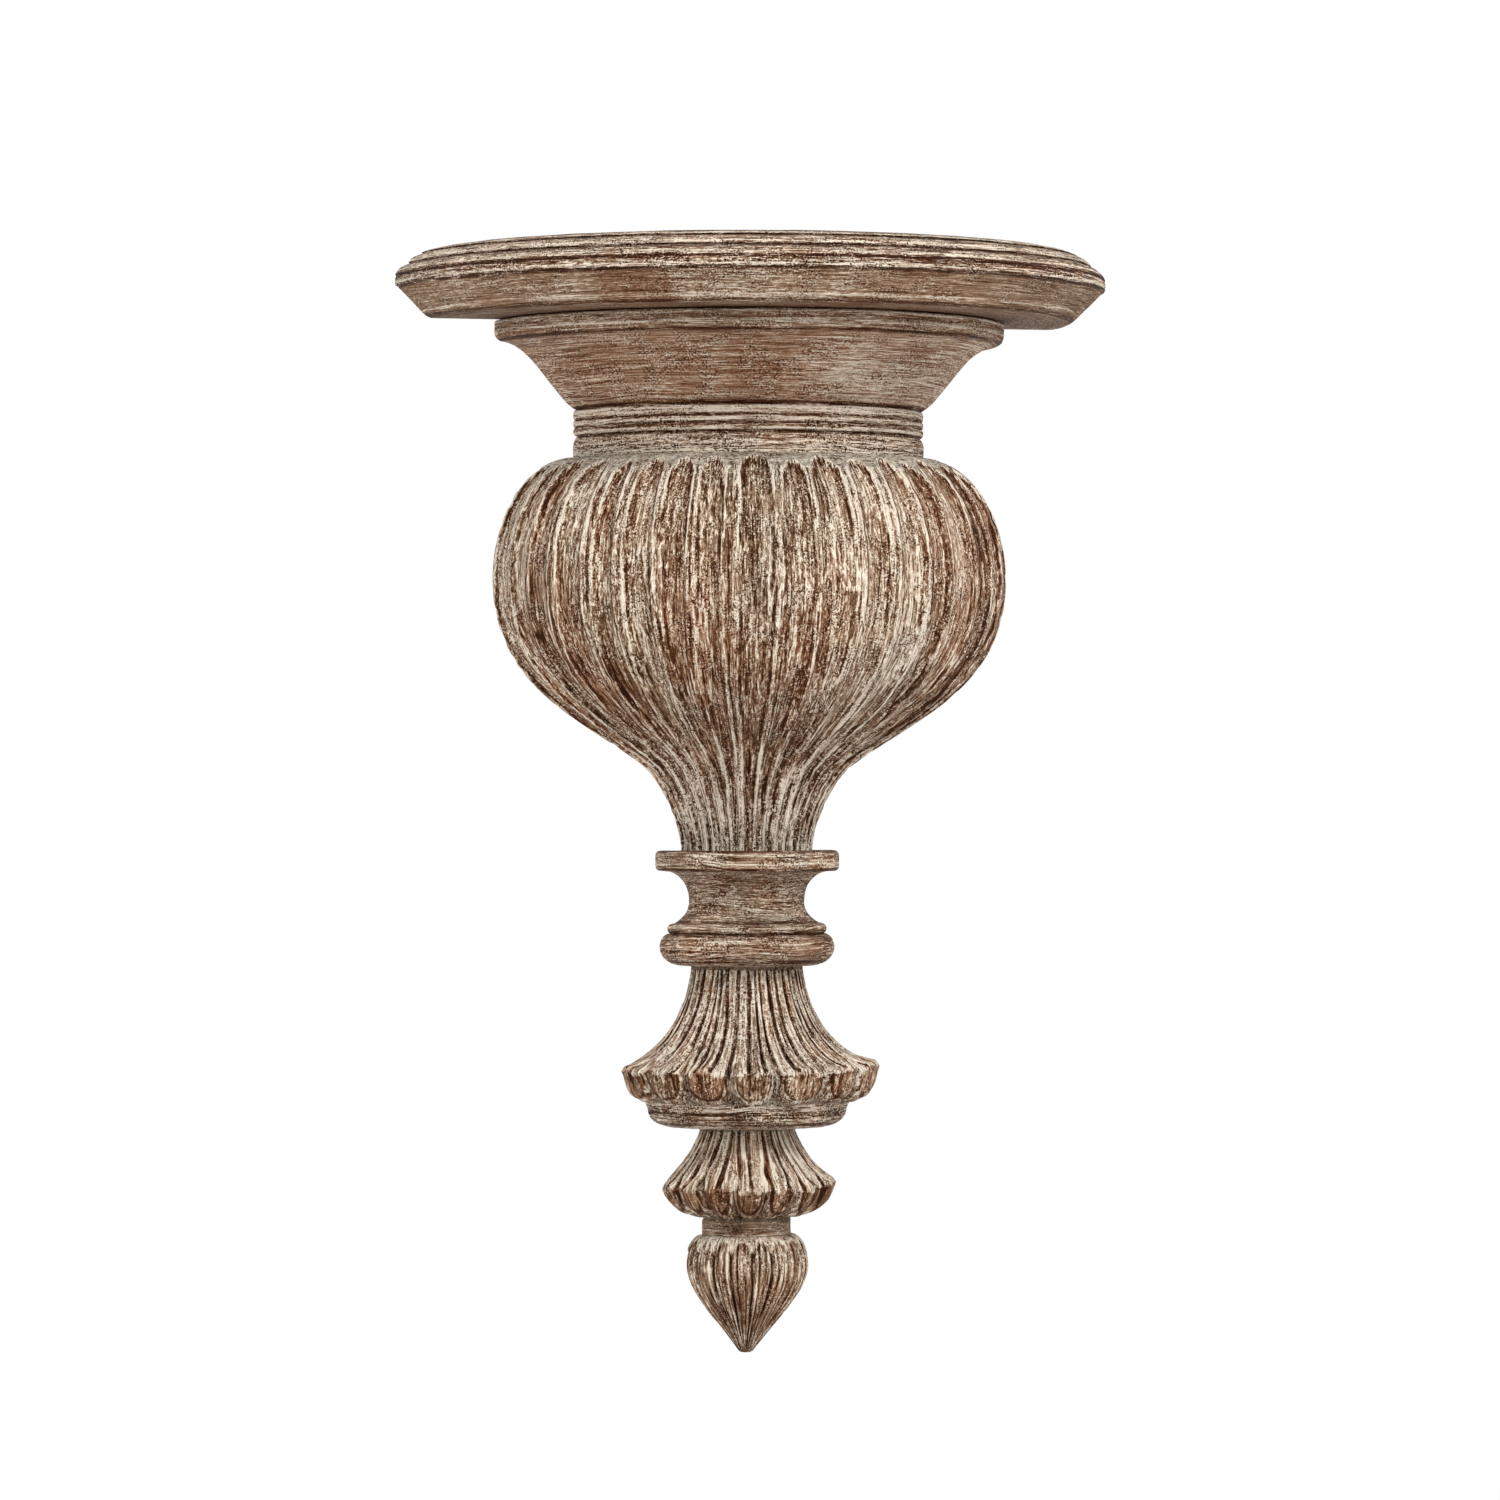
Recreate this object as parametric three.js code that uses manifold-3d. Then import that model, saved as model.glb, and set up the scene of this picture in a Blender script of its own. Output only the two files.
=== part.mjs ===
// A wooden wall corbel: a half-round moulded shelf board on a turned, fluted and lobed pendant.
// Units are millimetres and +Z is up. The sawn back lies in the plane y = 0 and faces +Y.
// The origin is on the back, on the centre line, halfway up the neck of the turning.
// An angle around the turning is measured from the front, -Y, towards +X.
import * as THREE from "three";
import { mergeVertices } from "three/addons/utils/BufferGeometryUtils.js";
import Module from "manifold-3d";

const wasm = await Module();
wasm.setup();

// Shelf board
const shelfRadius = 225;
const shelfThickness = 44;
const shelfReedsWidth = 32;
const shelfReedsHeight = 18.5;
const shelfReedNotch = 0.7;
const shelfBandHeight = 5;
const shelfChamferWidth = 22;
const shelfSeatGap = 0.3;

// Lip, cove and neck under the shelf
const lipRadius = 162;
const lipHeight = 11;
const lipChamfer = 3;
const coveHeight = 44;
const neckRadius = 111.5;
const neckHeight = 29.5;
const neckGrooveDepth = 1.8;
const neckGrooveWidth = 1.6;

// Fluted bulb
const bulbRadius = 163;
const bulbHeight = 244;
const bulbShoulderHeight = 76.5;
const bulbFootRadius = 42;
const bulbFlutes = 20;
const fluteDepth = 4;
const fluteFootDepth = 2;
const fluteHeadRun = 16;

// Ring, waist and torus
const ringRadius = 59;
const ringHeight = 13.5;
const ringRounding = 3.5;
const waistRadius = 37;
const waistHeight = 35.5;
const waistRimInset = 6;
const torusRadius = 56;
const torusHeight = 23.5;
const beadInset = 4;
const beadHeight = 3;
const beadSeam = 1.5;

// Large bell, with the plain disc under its lobes
const bellTopRadius = 36;
const bellRimRadius = 84.5;
const bellFlareHeight = 64;
const bellLobeHeight = 20.5;
const bellLobeInset = 16;
const bellLobes = 8;
const bellLobeDepth = 9;
const discInset = 3;
const discHeight = 16;
const discEdgeHeight = 5;
const discUndersideRadius = 48;

// Small bell, collar and bud
const smallTopRadius = 30.5;
const smallRimRadius = 57;
const smallFlareHeight = 36.5;
const smallLobeHeight = 20;
const smallLobes = 8;
const smallLobeDepth = 6;
const collarRadius = 28.5;
const collarHeight = 10.5;
const budRadius = 39.8;
const budShoulderHeight = 19.5;
const budHeight = 74.5;
const budTipRadius = 5.5;
const budTipRounding = 2;
const budRibs = 9;
const budRibDepth = 2.4;

// Facets around the half turning, and the tolerance that joins shared corners
const wideFacets = 34;
const narrowFacets = 20;
const cornerTolerance = 1e-4;

// Levels of the sections, from the middle of the neck
const neckTop = neckHeight / 2;
const coveTop = neckTop + coveHeight;
const lipTop = coveTop + lipHeight;
const shelfBottom = lipTop + shelfSeatGap;
const shelfTop = lipTop + shelfThickness;
const bulbTop = -neckHeight / 2;
const ringTop = bulbTop - bulbHeight;
const waistTop = ringTop - ringHeight;
const torusTop = waistTop - waistHeight;
const bellTop = torusTop - torusHeight;
const bellRim = bellTop - bellFlareHeight;
const discTop = bellRim - bellLobeHeight;
const smallTop = discTop - discHeight;
const smallRim = smallTop - smallFlareHeight;
const collarTop = smallRim - smallLobeHeight;
const budTop = collarTop - collarHeight;
const tipLevel = budTop - budHeight;

// Outlines are lists of points (radius, level), written from the top down
const at = (radius, level) => new THREE.Vector2(radius, level);

function between(from, to, radialShare, levelShare) {
  return at(
    THREE.MathUtils.lerp(from.x, to.x, radialShare),
    THREE.MathUtils.lerp(from.y, to.y, levelShare),
  );
}

// A soft bend from the outline's last point to the end, pulled towards one control point
function bend(outline, control, end, steps) {
  const curve = new THREE.QuadraticBezierCurve(outline.at(-1), control, end);
  outline.push(...curve.getPoints(steps).slice(1));
}

// A quarter of an ellipse that fills the corner between the last point and the end
function quarter(outline, corner, end, steps) {
  const start = outline.at(-1);
  const centre = start.clone().add(end).sub(corner);
  for (let step = 1; step <= steps; step += 1) {
    const turn = (step / steps) * (Math.PI / 2);
    const point = centre.clone();
    point.addScaledVector(start.clone().sub(centre), Math.cos(turn));
    point.addScaledVector(end.clone().sub(centre), Math.sin(turn));
    outline.push(point);
  }
}

// A sweep with two handles, given as shares of the way from its start to its end
function sweep(outline, firstHandle, secondHandle, end, steps) {
  const start = outline.at(-1);
  const first = between(start, end, firstHandle[0], firstHandle[1]);
  const second = between(start, end, secondHandle[0], secondHandle[1]);
  const curve = new THREE.CubicBezierCurve(start, first, second, end);
  outline.push(...curve.getPoints(steps).slice(1));
}

// A geometry as a solid: corners are shared, and the empty triangles on the axis are dropped
function solidFrom(geometry) {
  geometry.deleteAttribute("normal");
  geometry.deleteAttribute("uv");
  const merged = mergeVertices(geometry, cornerTolerance);
  const corners = merged.index.array;
  const triangles = [];
  for (let i = 0; i < corners.length; i += 3) {
    const [a, b, c] = corners.slice(i, i + 3);
    if (a !== b && b !== c && c !== a) triangles.push(a, b, c);
  }
  return new wasm.Manifold(
    new wasm.Mesh({
      numProp: 3,
      vertProperties: new Float32Array(merged.attributes.position.array),
      triVerts: new Uint32Array(triangles),
    }),
  );
}

function meshFrom(solid, name, material) {
  const result = solid.getMesh();
  const geometry = new THREE.BufferGeometry();
  geometry.setAttribute("position", new THREE.BufferAttribute(result.vertProperties, 3));
  geometry.setIndex(new THREE.BufferAttribute(result.triVerts, 1));
  geometry.computeVertexNormals();
  const mesh = new THREE.Mesh(geometry, material);
  mesh.name = name;
  return mesh;
}

// A full turning. Each column of corners gets its own angle, and each corner its own cut,
// which is how far the carving lies inside the turned outline.
function turned(outline, columns, angleAt, cutAt) {
  const points = [...outline].reverse();
  const lathe = new THREE.LatheGeometry(points, columns);
  const position = lathe.attributes.position;
  for (let i = 0; i <= columns; i += 1) {
    const column = i % columns;
    const angle = angleAt(column);
    points.forEach((point, row) => {
      const outlineRow = points.length - 1 - row;
      const radius = point.x > 0 ? point.x - cutAt(column, outlineRow) : 0;
      const depth = -radius * Math.cos(angle);
      position.setXYZ(
        i * points.length + row,
        radius * Math.sin(angle),
        Math.abs(depth) < cornerTolerance ? 0 : depth,
        point.y,
      );
    });
  }
  return solidFrom(lathe);
}

function plainTurning(outline, facets) {
  const columns = 2 * facets;
  const step = (2 * Math.PI) / columns;
  return turned(outline, columns, (column) => column * step, () => 0);
}

// A carved turning: the same cut repeats around it. The places across one cut run from -0.5 to
// 0.5, and depthAt gives how deep the carving goes at a place on a point of the outline.
function carvedTurning(outline, halfCount, places, depthAt) {
  const pitch = Math.PI / halfCount;
  const placeOf = (column) => places[column % places.length];
  const angleAt = (column) => {
    const cut = Math.floor(column / places.length);
    return (cut + 0.5 + placeOf(column)) * pitch;
  };
  const cutAt = (column, row) => depthAt(placeOf(column), outline[row]);
  return turned(outline, 2 * halfCount * places.length, angleAt, cutAt);
}

// Three small reeds step out to the band, and a chamfer runs back to the flat underside
function shelfBoard() {
  const reedWidths = [0.48, 0.74, 1];
  const reedDrops = [0.18, 0.54, 1];
  const reedStart = at(shelfRadius - shelfReedsWidth, shelfTop);
  const reedEnd = at(shelfRadius, shelfTop - shelfReedsHeight);
  const chamferStart = at(shelfRadius, reedEnd.y - shelfBandHeight);
  const chamferEnd = at(shelfRadius - shelfChamferWidth, shelfBottom);
  const outline = [at(0, shelfTop), reedStart];
  reedWidths.forEach((width, reed) => {
    const start = outline.at(-1);
    const end = between(reedStart, reedEnd, width, reedDrops[reed]);
    bend(outline, between(start, end, 0.75, 0.2), end, 3);
    if (reed < reedWidths.length - 1) {
      outline.push(at(end.x - shelfReedNotch, end.y - shelfReedNotch));
    }
  });
  outline.push(chamferStart, between(chamferStart, chamferEnd, 0.85, 0.88), chamferEnd);
  outline.push(at(0, shelfBottom));
  return plainTurning(outline, wideFacets);
}

// The lip, the cove that bends in and out again, and the neck with its three grooves
function capital() {
  const grooveShares = [0.14, 0.4, 0.66];
  const halfGroove = neckGrooveWidth / 2;
  const coveStart = at(lipRadius - lipChamfer, coveTop - lipChamfer);
  const coveEnd = at(neckRadius - neckGrooveDepth, neckTop);
  const outline = [at(0, lipTop), at(lipRadius, lipTop), at(lipRadius, coveTop), coveStart];
  sweep(outline, [0.45, 0.04], [0.69, 0.84], coveEnd, 8);
  outline.push(at(neckRadius, neckTop - halfGroove));
  for (const share of grooveShares) {
    const level = neckTop - share * neckHeight;
    outline.push(at(neckRadius, level + halfGroove));
    outline.push(at(neckRadius - neckGrooveDepth, level));
    outline.push(at(neckRadius, level - halfGroove));
  }
  outline.push(at(neckRadius, bulbTop), at(0, bulbTop));
  return plainTurning(outline, wideFacets);
}

// The bulb: an elliptical shoulder, a full belly, and a hollow sweep down to a narrow foot.
// Its flutes have flat fillets between them and rounded heads under the neck.
function bulb() {
  const widest = at(bulbRadius, bulbTop - bulbShoulderHeight);
  const foot = at(bulbFootRadius, ringTop);
  const turnOfBelly = between(widest, foot, 0.8, 0.69);
  const outline = [at(0, bulbTop), at(neckRadius, bulbTop)];
  quarter(outline, at(bulbRadius, bulbTop), widest, 6);
  sweep(outline, [0, 0.59], [0.63, 0.76], turnOfBelly, 6);
  sweep(outline, [0.48, 0.18], [1, 0.72], foot, 4);
  outline.push(at(0, ringTop));

  const filletEdge = 0.36;
  const channelEdge = 0.15;
  const places = [-filletEdge, -channelEdge, channelEdge, filletEdge];
  const depthAt = (place, point) => {
    if (point.y >= bulbTop || Math.abs(place) === filletEdge) return 0;
    const fullness = (point.x - bulbFootRadius) / (bulbRadius - bulbFootRadius);
    const depth = THREE.MathUtils.lerp(fluteFootDepth, fluteDepth, fullness);
    const isShoulder = point.y > widest.y;
    const head = THREE.MathUtils.smoothstep(point.x - neckRadius, 0, fluteHeadRun);
    return isShoulder ? depth * head : depth;
  };
  return carvedTurning(outline, bulbFlutes, places, depthAt);
}

// The plain turned spool under the bulb: ring, hollow waist, thin bead and torus
function spool() {
  const ringFace = ringRadius - ringRounding;
  const beadRadius = torusRadius - beadInset;
  const beadBottom = torusTop - beadHeight;
  const fullestShare = 0.42;
  const undersideShare = 0.28;
  const torusMiddle = THREE.MathUtils.lerp(beadBottom, bellTop, fullestShare);
  const torusUnderside = THREE.MathUtils.lerp(bellTopRadius, torusRadius, undersideShare);
  const narrowest = at(waistRadius, waistTop - waistHeight / 2);
  const outline = [at(0, ringTop), at(ringFace, ringTop)];
  quarter(outline, at(ringRadius, ringTop), at(ringRadius, ringTop - ringRounding), 2);
  outline.push(at(ringRadius, waistTop + ringRounding));
  quarter(outline, at(ringRadius, waistTop), at(ringFace, waistTop), 2);
  outline.push(at(ringRadius - waistRimInset, waistTop));
  quarter(outline, at(waistRadius, waistTop), narrowest, 4);
  quarter(outline, at(waistRadius, torusTop), at(beadRadius, torusTop), 4);
  outline.push(at(beadRadius, beadBottom + beadSeam));
  outline.push(at(beadRadius - beadSeam, beadBottom));
  quarter(outline, at(torusRadius, beadBottom), at(torusRadius, torusMiddle), 3);
  quarter(outline, at(torusRadius, bellTop), at(torusUnderside, bellTop), 4);
  outline.push(at(0, bellTop));
  return plainTurning(outline, narrowFacets);
}

// How deep the cut is across one lobe of a bell. On the flare a groove lies at each side of
// the lobe, a fillet beside the groove and a channel along the middle. At the rim and below
// it the lobe is round.
const lobePlaces = [-0.5, -0.36, -0.2, 0, 0.2, 0.36];
const flareShares = new Map([[0.5, 1], [0.36, 0.1], [0.2, 0.3], [0, 0.4]]);

function lobeCut(place, roundness) {
  const roundShare = (2 * place) ** 2;
  const flareShare = flareShares.get(Math.abs(place));
  return THREE.MathUtils.lerp(flareShare, roundShare, roundness);
}

// A bell: a fluted flare down to a scalloped rim, and rounded lobes that turn back under it.
// The levels and radii are those of its top, its rim and the foot of its lobes.
function bell({ levels, radii, handles, lobes, lobeDepth }) {
  const rimRounding = (radii.rim - radii.top) * 0.05;
  const shallowShare = 0.25;
  const deepeningSpan = [0.2, 0.8];
  const roundingSpan = [0.5, 1];
  const rimTop = at(radii.rim - rimRounding, levels.rim + rimRounding);
  const rimUnder = at(radii.rim, levels.rim - rimRounding);
  const foot = at(radii.foot, levels.foot);
  const outline = [at(0, levels.top), at(radii.top, levels.top)];
  sweep(outline, handles[0], handles[1], rimTop, 6);
  outline.push(rimUnder);
  quarter(outline, between(rimUnder, foot, 0.15, 1), foot, 3);
  outline.push(at(0, levels.foot));
  const depthAt = (place, point) => {
    if (point.y <= levels.rim) return lobeDepth * lobeCut(place, 1);
    const fullness = (point.x - radii.top) / (radii.rim - radii.top);
    const deepening = THREE.MathUtils.smoothstep(fullness, ...deepeningSpan);
    const roundness = THREE.MathUtils.smoothstep(fullness, ...roundingSpan);
    const depth = lobeDepth * THREE.MathUtils.lerp(shallowShare, 1, deepening);
    return depth * lobeCut(place, roundness);
  };
  return carvedTurning(outline, lobes, lobePlaces, depthAt);
}

function largeBell() {
  return bell({
    levels: { top: bellTop, rim: bellRim, foot: discTop },
    radii: { top: bellTopRadius, rim: bellRimRadius, foot: bellRimRadius - bellLobeInset },
    handles: [[0.1, 0.6], [0.5, 0.88]],
    lobes: bellLobes,
    lobeDepth: bellLobeDepth,
  });
}

function smallBell() {
  return bell({
    levels: { top: smallTop, rim: smallRim, foot: collarTop },
    radii: { top: smallTopRadius, rim: smallRimRadius, foot: collarRadius },
    handles: [[0.3, 0.6], [0.75, 0.75]],
    lobes: smallLobes,
    lobeDepth: smallLobeDepth,
  });
}

// The plain rounded disc that carries the large bell's lobes
function disc() {
  const discRadius = bellRimRadius - bellLobeInset - discInset;
  const edgeTaper = 2;
  const edgeFoot = at(discRadius - edgeTaper, discTop - discEdgeHeight);
  const outline = [at(0, discTop), at(discRadius, discTop), edgeFoot];
  quarter(outline, at(edgeFoot.x, smallTop), at(discUndersideRadius, smallTop), 4);
  outline.push(at(0, smallTop));
  return plainTurning(outline, narrowFacets);
}

function collar() {
  const outline = [at(0, collarTop), at(collarRadius, collarTop)];
  outline.push(at(collarRadius, budTop), at(0, budTop));
  return plainTurning(outline, narrowFacets);
}

// The ribbed bud: a round shoulder, then a long taper to a blunt point
function bud() {
  const widest = at(budRadius, budTop - budShoulderHeight);
  const outline = [at(0, budTop), at(collarRadius, budTop)];
  quarter(outline, at(budRadius, budTop), widest, 4);
  sweep(outline, [0, 0.3], [0.45, 0.55], at(budTipRadius, tipLevel + budTipRounding), 6);
  outline.push(at(0, tipLevel));
  const ribEdge = 0.28;
  const places = [-0.5, -ribEdge, 0, ribEdge];
  const depthAt = (place, point) => {
    if (point.y >= budTop) return 0;
    const depth = budRibDepth * Math.min(1, point.x / (budRadius / 2));
    return depth * (2 * place) ** 2;
  };
  return carvedTurning(outline, budRibs, places, depthAt);
}

// The saw takes away the back half of each full turning
function frontHalf(solid) {
  const reach = 2 * Math.max(shelfRadius, lipRadius, bulbRadius);
  const height = 2 * (shelfTop - tipLevel);
  const keep = new THREE.BoxGeometry(2 * reach, reach, 2 * height);
  keep.translate(0, -reach / 2, 0);
  return solid.intersect(solidFrom(keep));
}

function pendant() {
  const sections = [bulb(), spool(), largeBell(), disc(), smallBell(), collar(), bud()];
  return sections.reduce((joined, section) => joined.add(section), capital());
}

const shelfWood = new THREE.MeshStandardMaterial({ color: 0x9c7f68, roughness: 0.78, metalness: 0 });
const carvedWood = new THREE.MeshStandardMaterial({ color: 0x8f725c, roughness: 0.82, metalness: 0 });

const corbel = new THREE.Group();
corbel.name = "wall_corbel";
corbel.add(meshFrom(frontHalf(shelfBoard()), "shelf_board", shelfWood));
corbel.add(meshFrom(frontHalf(pendant()), "carved_body", carvedWood));

export default corbel;
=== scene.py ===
"""A limed wooden wall corbel: a moulded half-round shelf on a turned, fluted and lobed pendant.

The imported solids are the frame. Two finely carved meshes take their place, cut by the same
outlines, with flutes, lobes, ribs, tool marks and worn arrises, and node materials that give the
brown stain, the pale lime wash and the dark grooves. Sizes are in millimetres until a mesh, a
light or the camera is made. Angles around the turning are 0 at the front and grow to its right.
"""
import math
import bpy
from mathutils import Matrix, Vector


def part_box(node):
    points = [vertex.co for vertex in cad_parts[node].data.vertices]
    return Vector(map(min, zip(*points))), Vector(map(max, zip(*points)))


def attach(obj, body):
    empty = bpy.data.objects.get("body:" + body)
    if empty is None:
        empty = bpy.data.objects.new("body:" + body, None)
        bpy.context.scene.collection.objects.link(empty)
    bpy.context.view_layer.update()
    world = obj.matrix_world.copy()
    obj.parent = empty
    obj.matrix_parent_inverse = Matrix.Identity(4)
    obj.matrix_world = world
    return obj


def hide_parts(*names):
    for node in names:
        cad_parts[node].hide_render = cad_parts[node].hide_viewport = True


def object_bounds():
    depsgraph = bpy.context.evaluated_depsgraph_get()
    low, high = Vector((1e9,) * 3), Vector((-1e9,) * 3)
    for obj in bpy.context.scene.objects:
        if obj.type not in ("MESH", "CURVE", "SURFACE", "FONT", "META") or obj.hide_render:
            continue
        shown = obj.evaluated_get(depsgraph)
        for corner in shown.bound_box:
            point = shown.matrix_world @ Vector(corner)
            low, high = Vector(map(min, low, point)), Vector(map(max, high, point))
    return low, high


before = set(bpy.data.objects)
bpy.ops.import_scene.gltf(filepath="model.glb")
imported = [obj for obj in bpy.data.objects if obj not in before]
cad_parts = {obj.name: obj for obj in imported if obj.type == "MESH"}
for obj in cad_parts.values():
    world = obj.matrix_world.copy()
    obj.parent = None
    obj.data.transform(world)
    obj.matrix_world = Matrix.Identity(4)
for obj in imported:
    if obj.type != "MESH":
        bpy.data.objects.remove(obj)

from types import SimpleNamespace

import bpy
import numpy as np
from mathutils import Vector

cad_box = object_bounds()
MM = 0.001
HALF_TURN = math.pi
QUARTER_TURN = math.pi / 2

# The two solids' own boxes give the places that everything is set out from
SHELF_LOW, SHELF_HIGH = (np.array(corner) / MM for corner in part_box("shelf_board"))
BODY_LOW, BODY_HIGH = (np.array(corner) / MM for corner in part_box("carved_body"))

# The shelf's edge: where its reeds and the band under them end below its top, and how far the
# reeds and the chamfer reach in
REED_DROP = 17.4
BAND_DROP = 24.4
REED_WIDTH = 32
CHAMFER_WIDTH = 22
BAND_ROUND = 1.4
REED_QUIRK = 0.7
# Where each reed ends, as shares of the reeds' width and drop
REEDS = ((0.48, 0.18), (0.74, 0.54), (1, 1))

# The neck's grooves: how far below its top and how deep
NECK_GROOVES = ((6.6, 1.2), (11.2, 1.4), (16.6, 2.6))

# Heights of the turned sections, from the shelf's seat down
LIP_HEIGHT = 11
COVE_HEIGHT = 44
NECK_HEIGHT = 29.5
BULB_HEIGHT = 244
BULB_SHOULDER_HEIGHT = 76.5
RING_HEIGHT = 13.5
WAIST_HEIGHT = 35.5
TORUS_HEIGHT = 23.5
BELL_FLARE_HEIGHT = 64
BELL_LOBE_HEIGHT = 20.5
DISC_HEIGHT = 16
SMALL_FLARE_HEIGHT = 36.5
SMALL_LOBE_HEIGHT = 20
COLLAR_HEIGHT = 10.5
BUD_SHOULDER_HEIGHT = 19.5

# Radii
SHELF_RADIUS = 225
LIP_RADIUS = 162
NECK_RADIUS = 111.5
BULB_RADIUS = 163
FOOT_RADIUS = 42
RING_RADIUS = 59
WAIST_RADIUS = 37
BEAD_RADIUS = 51.2
TORUS_RADIUS = 56
BELL_TOP_RADIUS = 36
BELL_RIM_RADIUS = 84.5
BELL_FOOT_RADIUS = 68.5
DISC_RADIUS = 65.5
DISC_UNDER_RADIUS = 48
SMALL_TOP_RADIUS = 30.5
SMALL_RIM_RADIUS = 57
COLLAR_RADIUS = 28.5
BUD_RADIUS = 39.8
TIP_RADIUS = 5.5

# Small steps, ledges and roundings of the turning
SEAT_WIDTH = 8
LIP_ARRIS = 1.2
LIP_NOSE = 4.4
LIP_TUCK = 4
LIP_FALL = 2.4
NECK_UNDERCUT = 1.8
NECK_SWELL = 1.2
NECK_SWELL_DROP = 19
RING_ROUND = 3.5
RING_LEDGE = 6
BEAD_ABOVE = 3.6
BEAD_BELOW = 3
BEAD_LEDGE = 5
TORUS_LEDGE = 5.6
TORUS_MIDDLE = 0.42
DISC_TAPER = 2
DISC_EDGE = 5
TIP_ROUND = 2
TIP_FLAT = 1.2

# Carving on the half turning
BULB_FLUTES = 20
BELL_LOBES = 8
BUD_RIBS = 9

# Depths of the carving and of the tool marks in it
FLUTE_FOOT_DEPTH = 2.0
FLUTE_SWELL_DEPTH = 2.0
CHIP_DEPTH = 0.6
FLUTE_MARK_DEPTH = 0.35
BELL_MARK_DEPTH = 0.3
GOUGE_DEPTH = 0.9
RIB_DEPTH = 3.2
RIB_FILLET_DEPTH = 1.0
RIB_MARK_DEPTH = 0.25

# Levels in the shared frame
SHELF_TOP = SHELF_HIGH[2]
SHELF_BOTTOM = SHELF_LOW[2]
LIP_TOP = BODY_HIGH[2]
COVE_TOP = LIP_TOP - LIP_HEIGHT
NECK_TOP = COVE_TOP - COVE_HEIGHT
BULB_TOP = NECK_TOP - NECK_HEIGHT
RING_TOP = BULB_TOP - BULB_HEIGHT
WAIST_TOP = RING_TOP - RING_HEIGHT
TORUS_TOP = WAIST_TOP - WAIST_HEIGHT
BEAD_TOP = TORUS_TOP + BEAD_ABOVE
BEAD_BOTTOM = TORUS_TOP - BEAD_BELOW
BELL_TOP = TORUS_TOP - TORUS_HEIGHT
BELL_RIM = BELL_TOP - BELL_FLARE_HEIGHT
DISC_TOP = BELL_RIM - BELL_LOBE_HEIGHT
SMALL_TOP = DISC_TOP - DISC_HEIGHT
SMALL_RIM = SMALL_TOP - SMALL_FLARE_HEIGHT
COLLAR_TOP = SMALL_RIM - SMALL_LOBE_HEIGHT
BUD_TOP = COLLAR_TOP - COLLAR_HEIGHT
TIP = BODY_LOW[2]

# The two bells. depth is how deep the lobes part, hang is how far the longest tongue reaches below
# the rim, and lift is how much higher the rim runs at its right. strips is how many strips stand
# over a lobe, and slant is how far they stray sideways, as a share of a strip.
LARGE_BELL = SimpleNamespace(
    rim=BELL_RIM, foot=DISC_TOP, top_radius=BELL_TOP_RADIUS, rim_radius=BELL_RIM_RADIUS,
    foot_radius=BELL_FOOT_RADIUS, handles=((0.1, 0.6), (0.52, 0.9)), rounding=3.0,
    depth=8.6, hang=2.2, lift=2.6, strips=3, slant=0.2,
    flare_tone=0.05, lobe_tone=-0.04, tip_tone=0.14, contrast=0.92, seed=21)
SMALL_BELL = SimpleNamespace(
    rim=SMALL_RIM, foot=COLLAR_TOP, top_radius=SMALL_TOP_RADIUS, rim_radius=SMALL_RIM_RADIUS,
    foot_radius=COLLAR_RADIUS, handles=((0.3, 0.6), (0.75, 0.8)), rounding=3.4,
    depth=5.8, hang=3.0, lift=2.0, strips=2, slant=0.34,
    flare_tone=0.19, lobe_tone=-0.07, tip_tone=-0.06, contrast=0.78, seed=25)

# Tone and grey of the bulb's wash at shares of the way down it
BULB_TONES = ((0, 0.03), (0.08, 0.1), (0.25, 0.07), (0.5, 0.03), (0.7, 0.0), (0.88, 0.07),
              (0.95, 0.11), (1, 0.18))
BULB_GREYS = ((0, 0.6), (0.1, 0.25), (0.3, 0.15), (0.5, 0.0), (0.85, 0.0), (0.95, 0.3), (1, 0.8))
# Patches of greyer wash on the bulb: degrees from the front, drop below the neck's top, degrees
# wide, height and strength
GREY_PATCHES = ((-12, 120, 7, 28, 1.0), (26, 160, 8, 32, 1.0), (-78, 105, 9, 20, 0.5))
# Tone of the bud's wash, by millimetres down it
BUD_TONES = ((0, 0.14), (10, 0.12), (30, 0.06), (60, 0.0))
# The staves of the shelf's chamfer, from its left: first degree, tone, red stain and contrast
STAVES = ((-90, 0.0, 0.1, 0.65), (-66, -0.03, 0.3, 0.65), (-48, 0.04, 0.0, 0.65),
          (-41, -0.05, 0.9, 0.65), (-27.5, 0.08, 0.5, 0.95), (1.5, 0.0, 0.35, 0.65),
          (27, 0.04, 0.1, 0.65), (55, -0.02, 0.2, 0.65))

# Spacing of the mesh's rows down each part of the outline
PITCHES = {"capital": 1.0, "bulb": 2.7, "spool": 1.4, "bell": 1.6, "disc": 1.5, "small_bell": 1.5,
           "collar": 1.8, "bud": 1.7, "shelf_top": 2.0, "reeds": 0.95, "chamfer": 1.1, "underside": 3.0}
COVE_PITCH = 1.9
NECK_PITCH = 0.9
BEAD_PITCH = 0.8

# Columns across the half turning, and how many of them each section's rows step over at a time.
# The bulb takes every column where it is wide and every second one where it is narrow.
COLUMNS = 384
STRIDES = {"capital": 4, "spool": 4, "disc": 4, "collar": 4, "bell": 2, "small_bell": 2, "bud": 2,
           "shelf_top": 2, "reeds": 2, "chamfer": 2, "underside": 2}
NARROW_BULB_RADIUS = 88
NARROW_BULB_STRIDE = 2

# Edges that turn by more than this are sharp
SHARP_TURN = math.radians(62)
# The least radius of a carved row, and a distance at which no line shows
LEAST_RADIUS = 0.4
FAR = 50.0


# Outlines

def between(start, end, radial_share, level_share):
    return start + (end - start) * np.array([radial_share, level_share])


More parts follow.
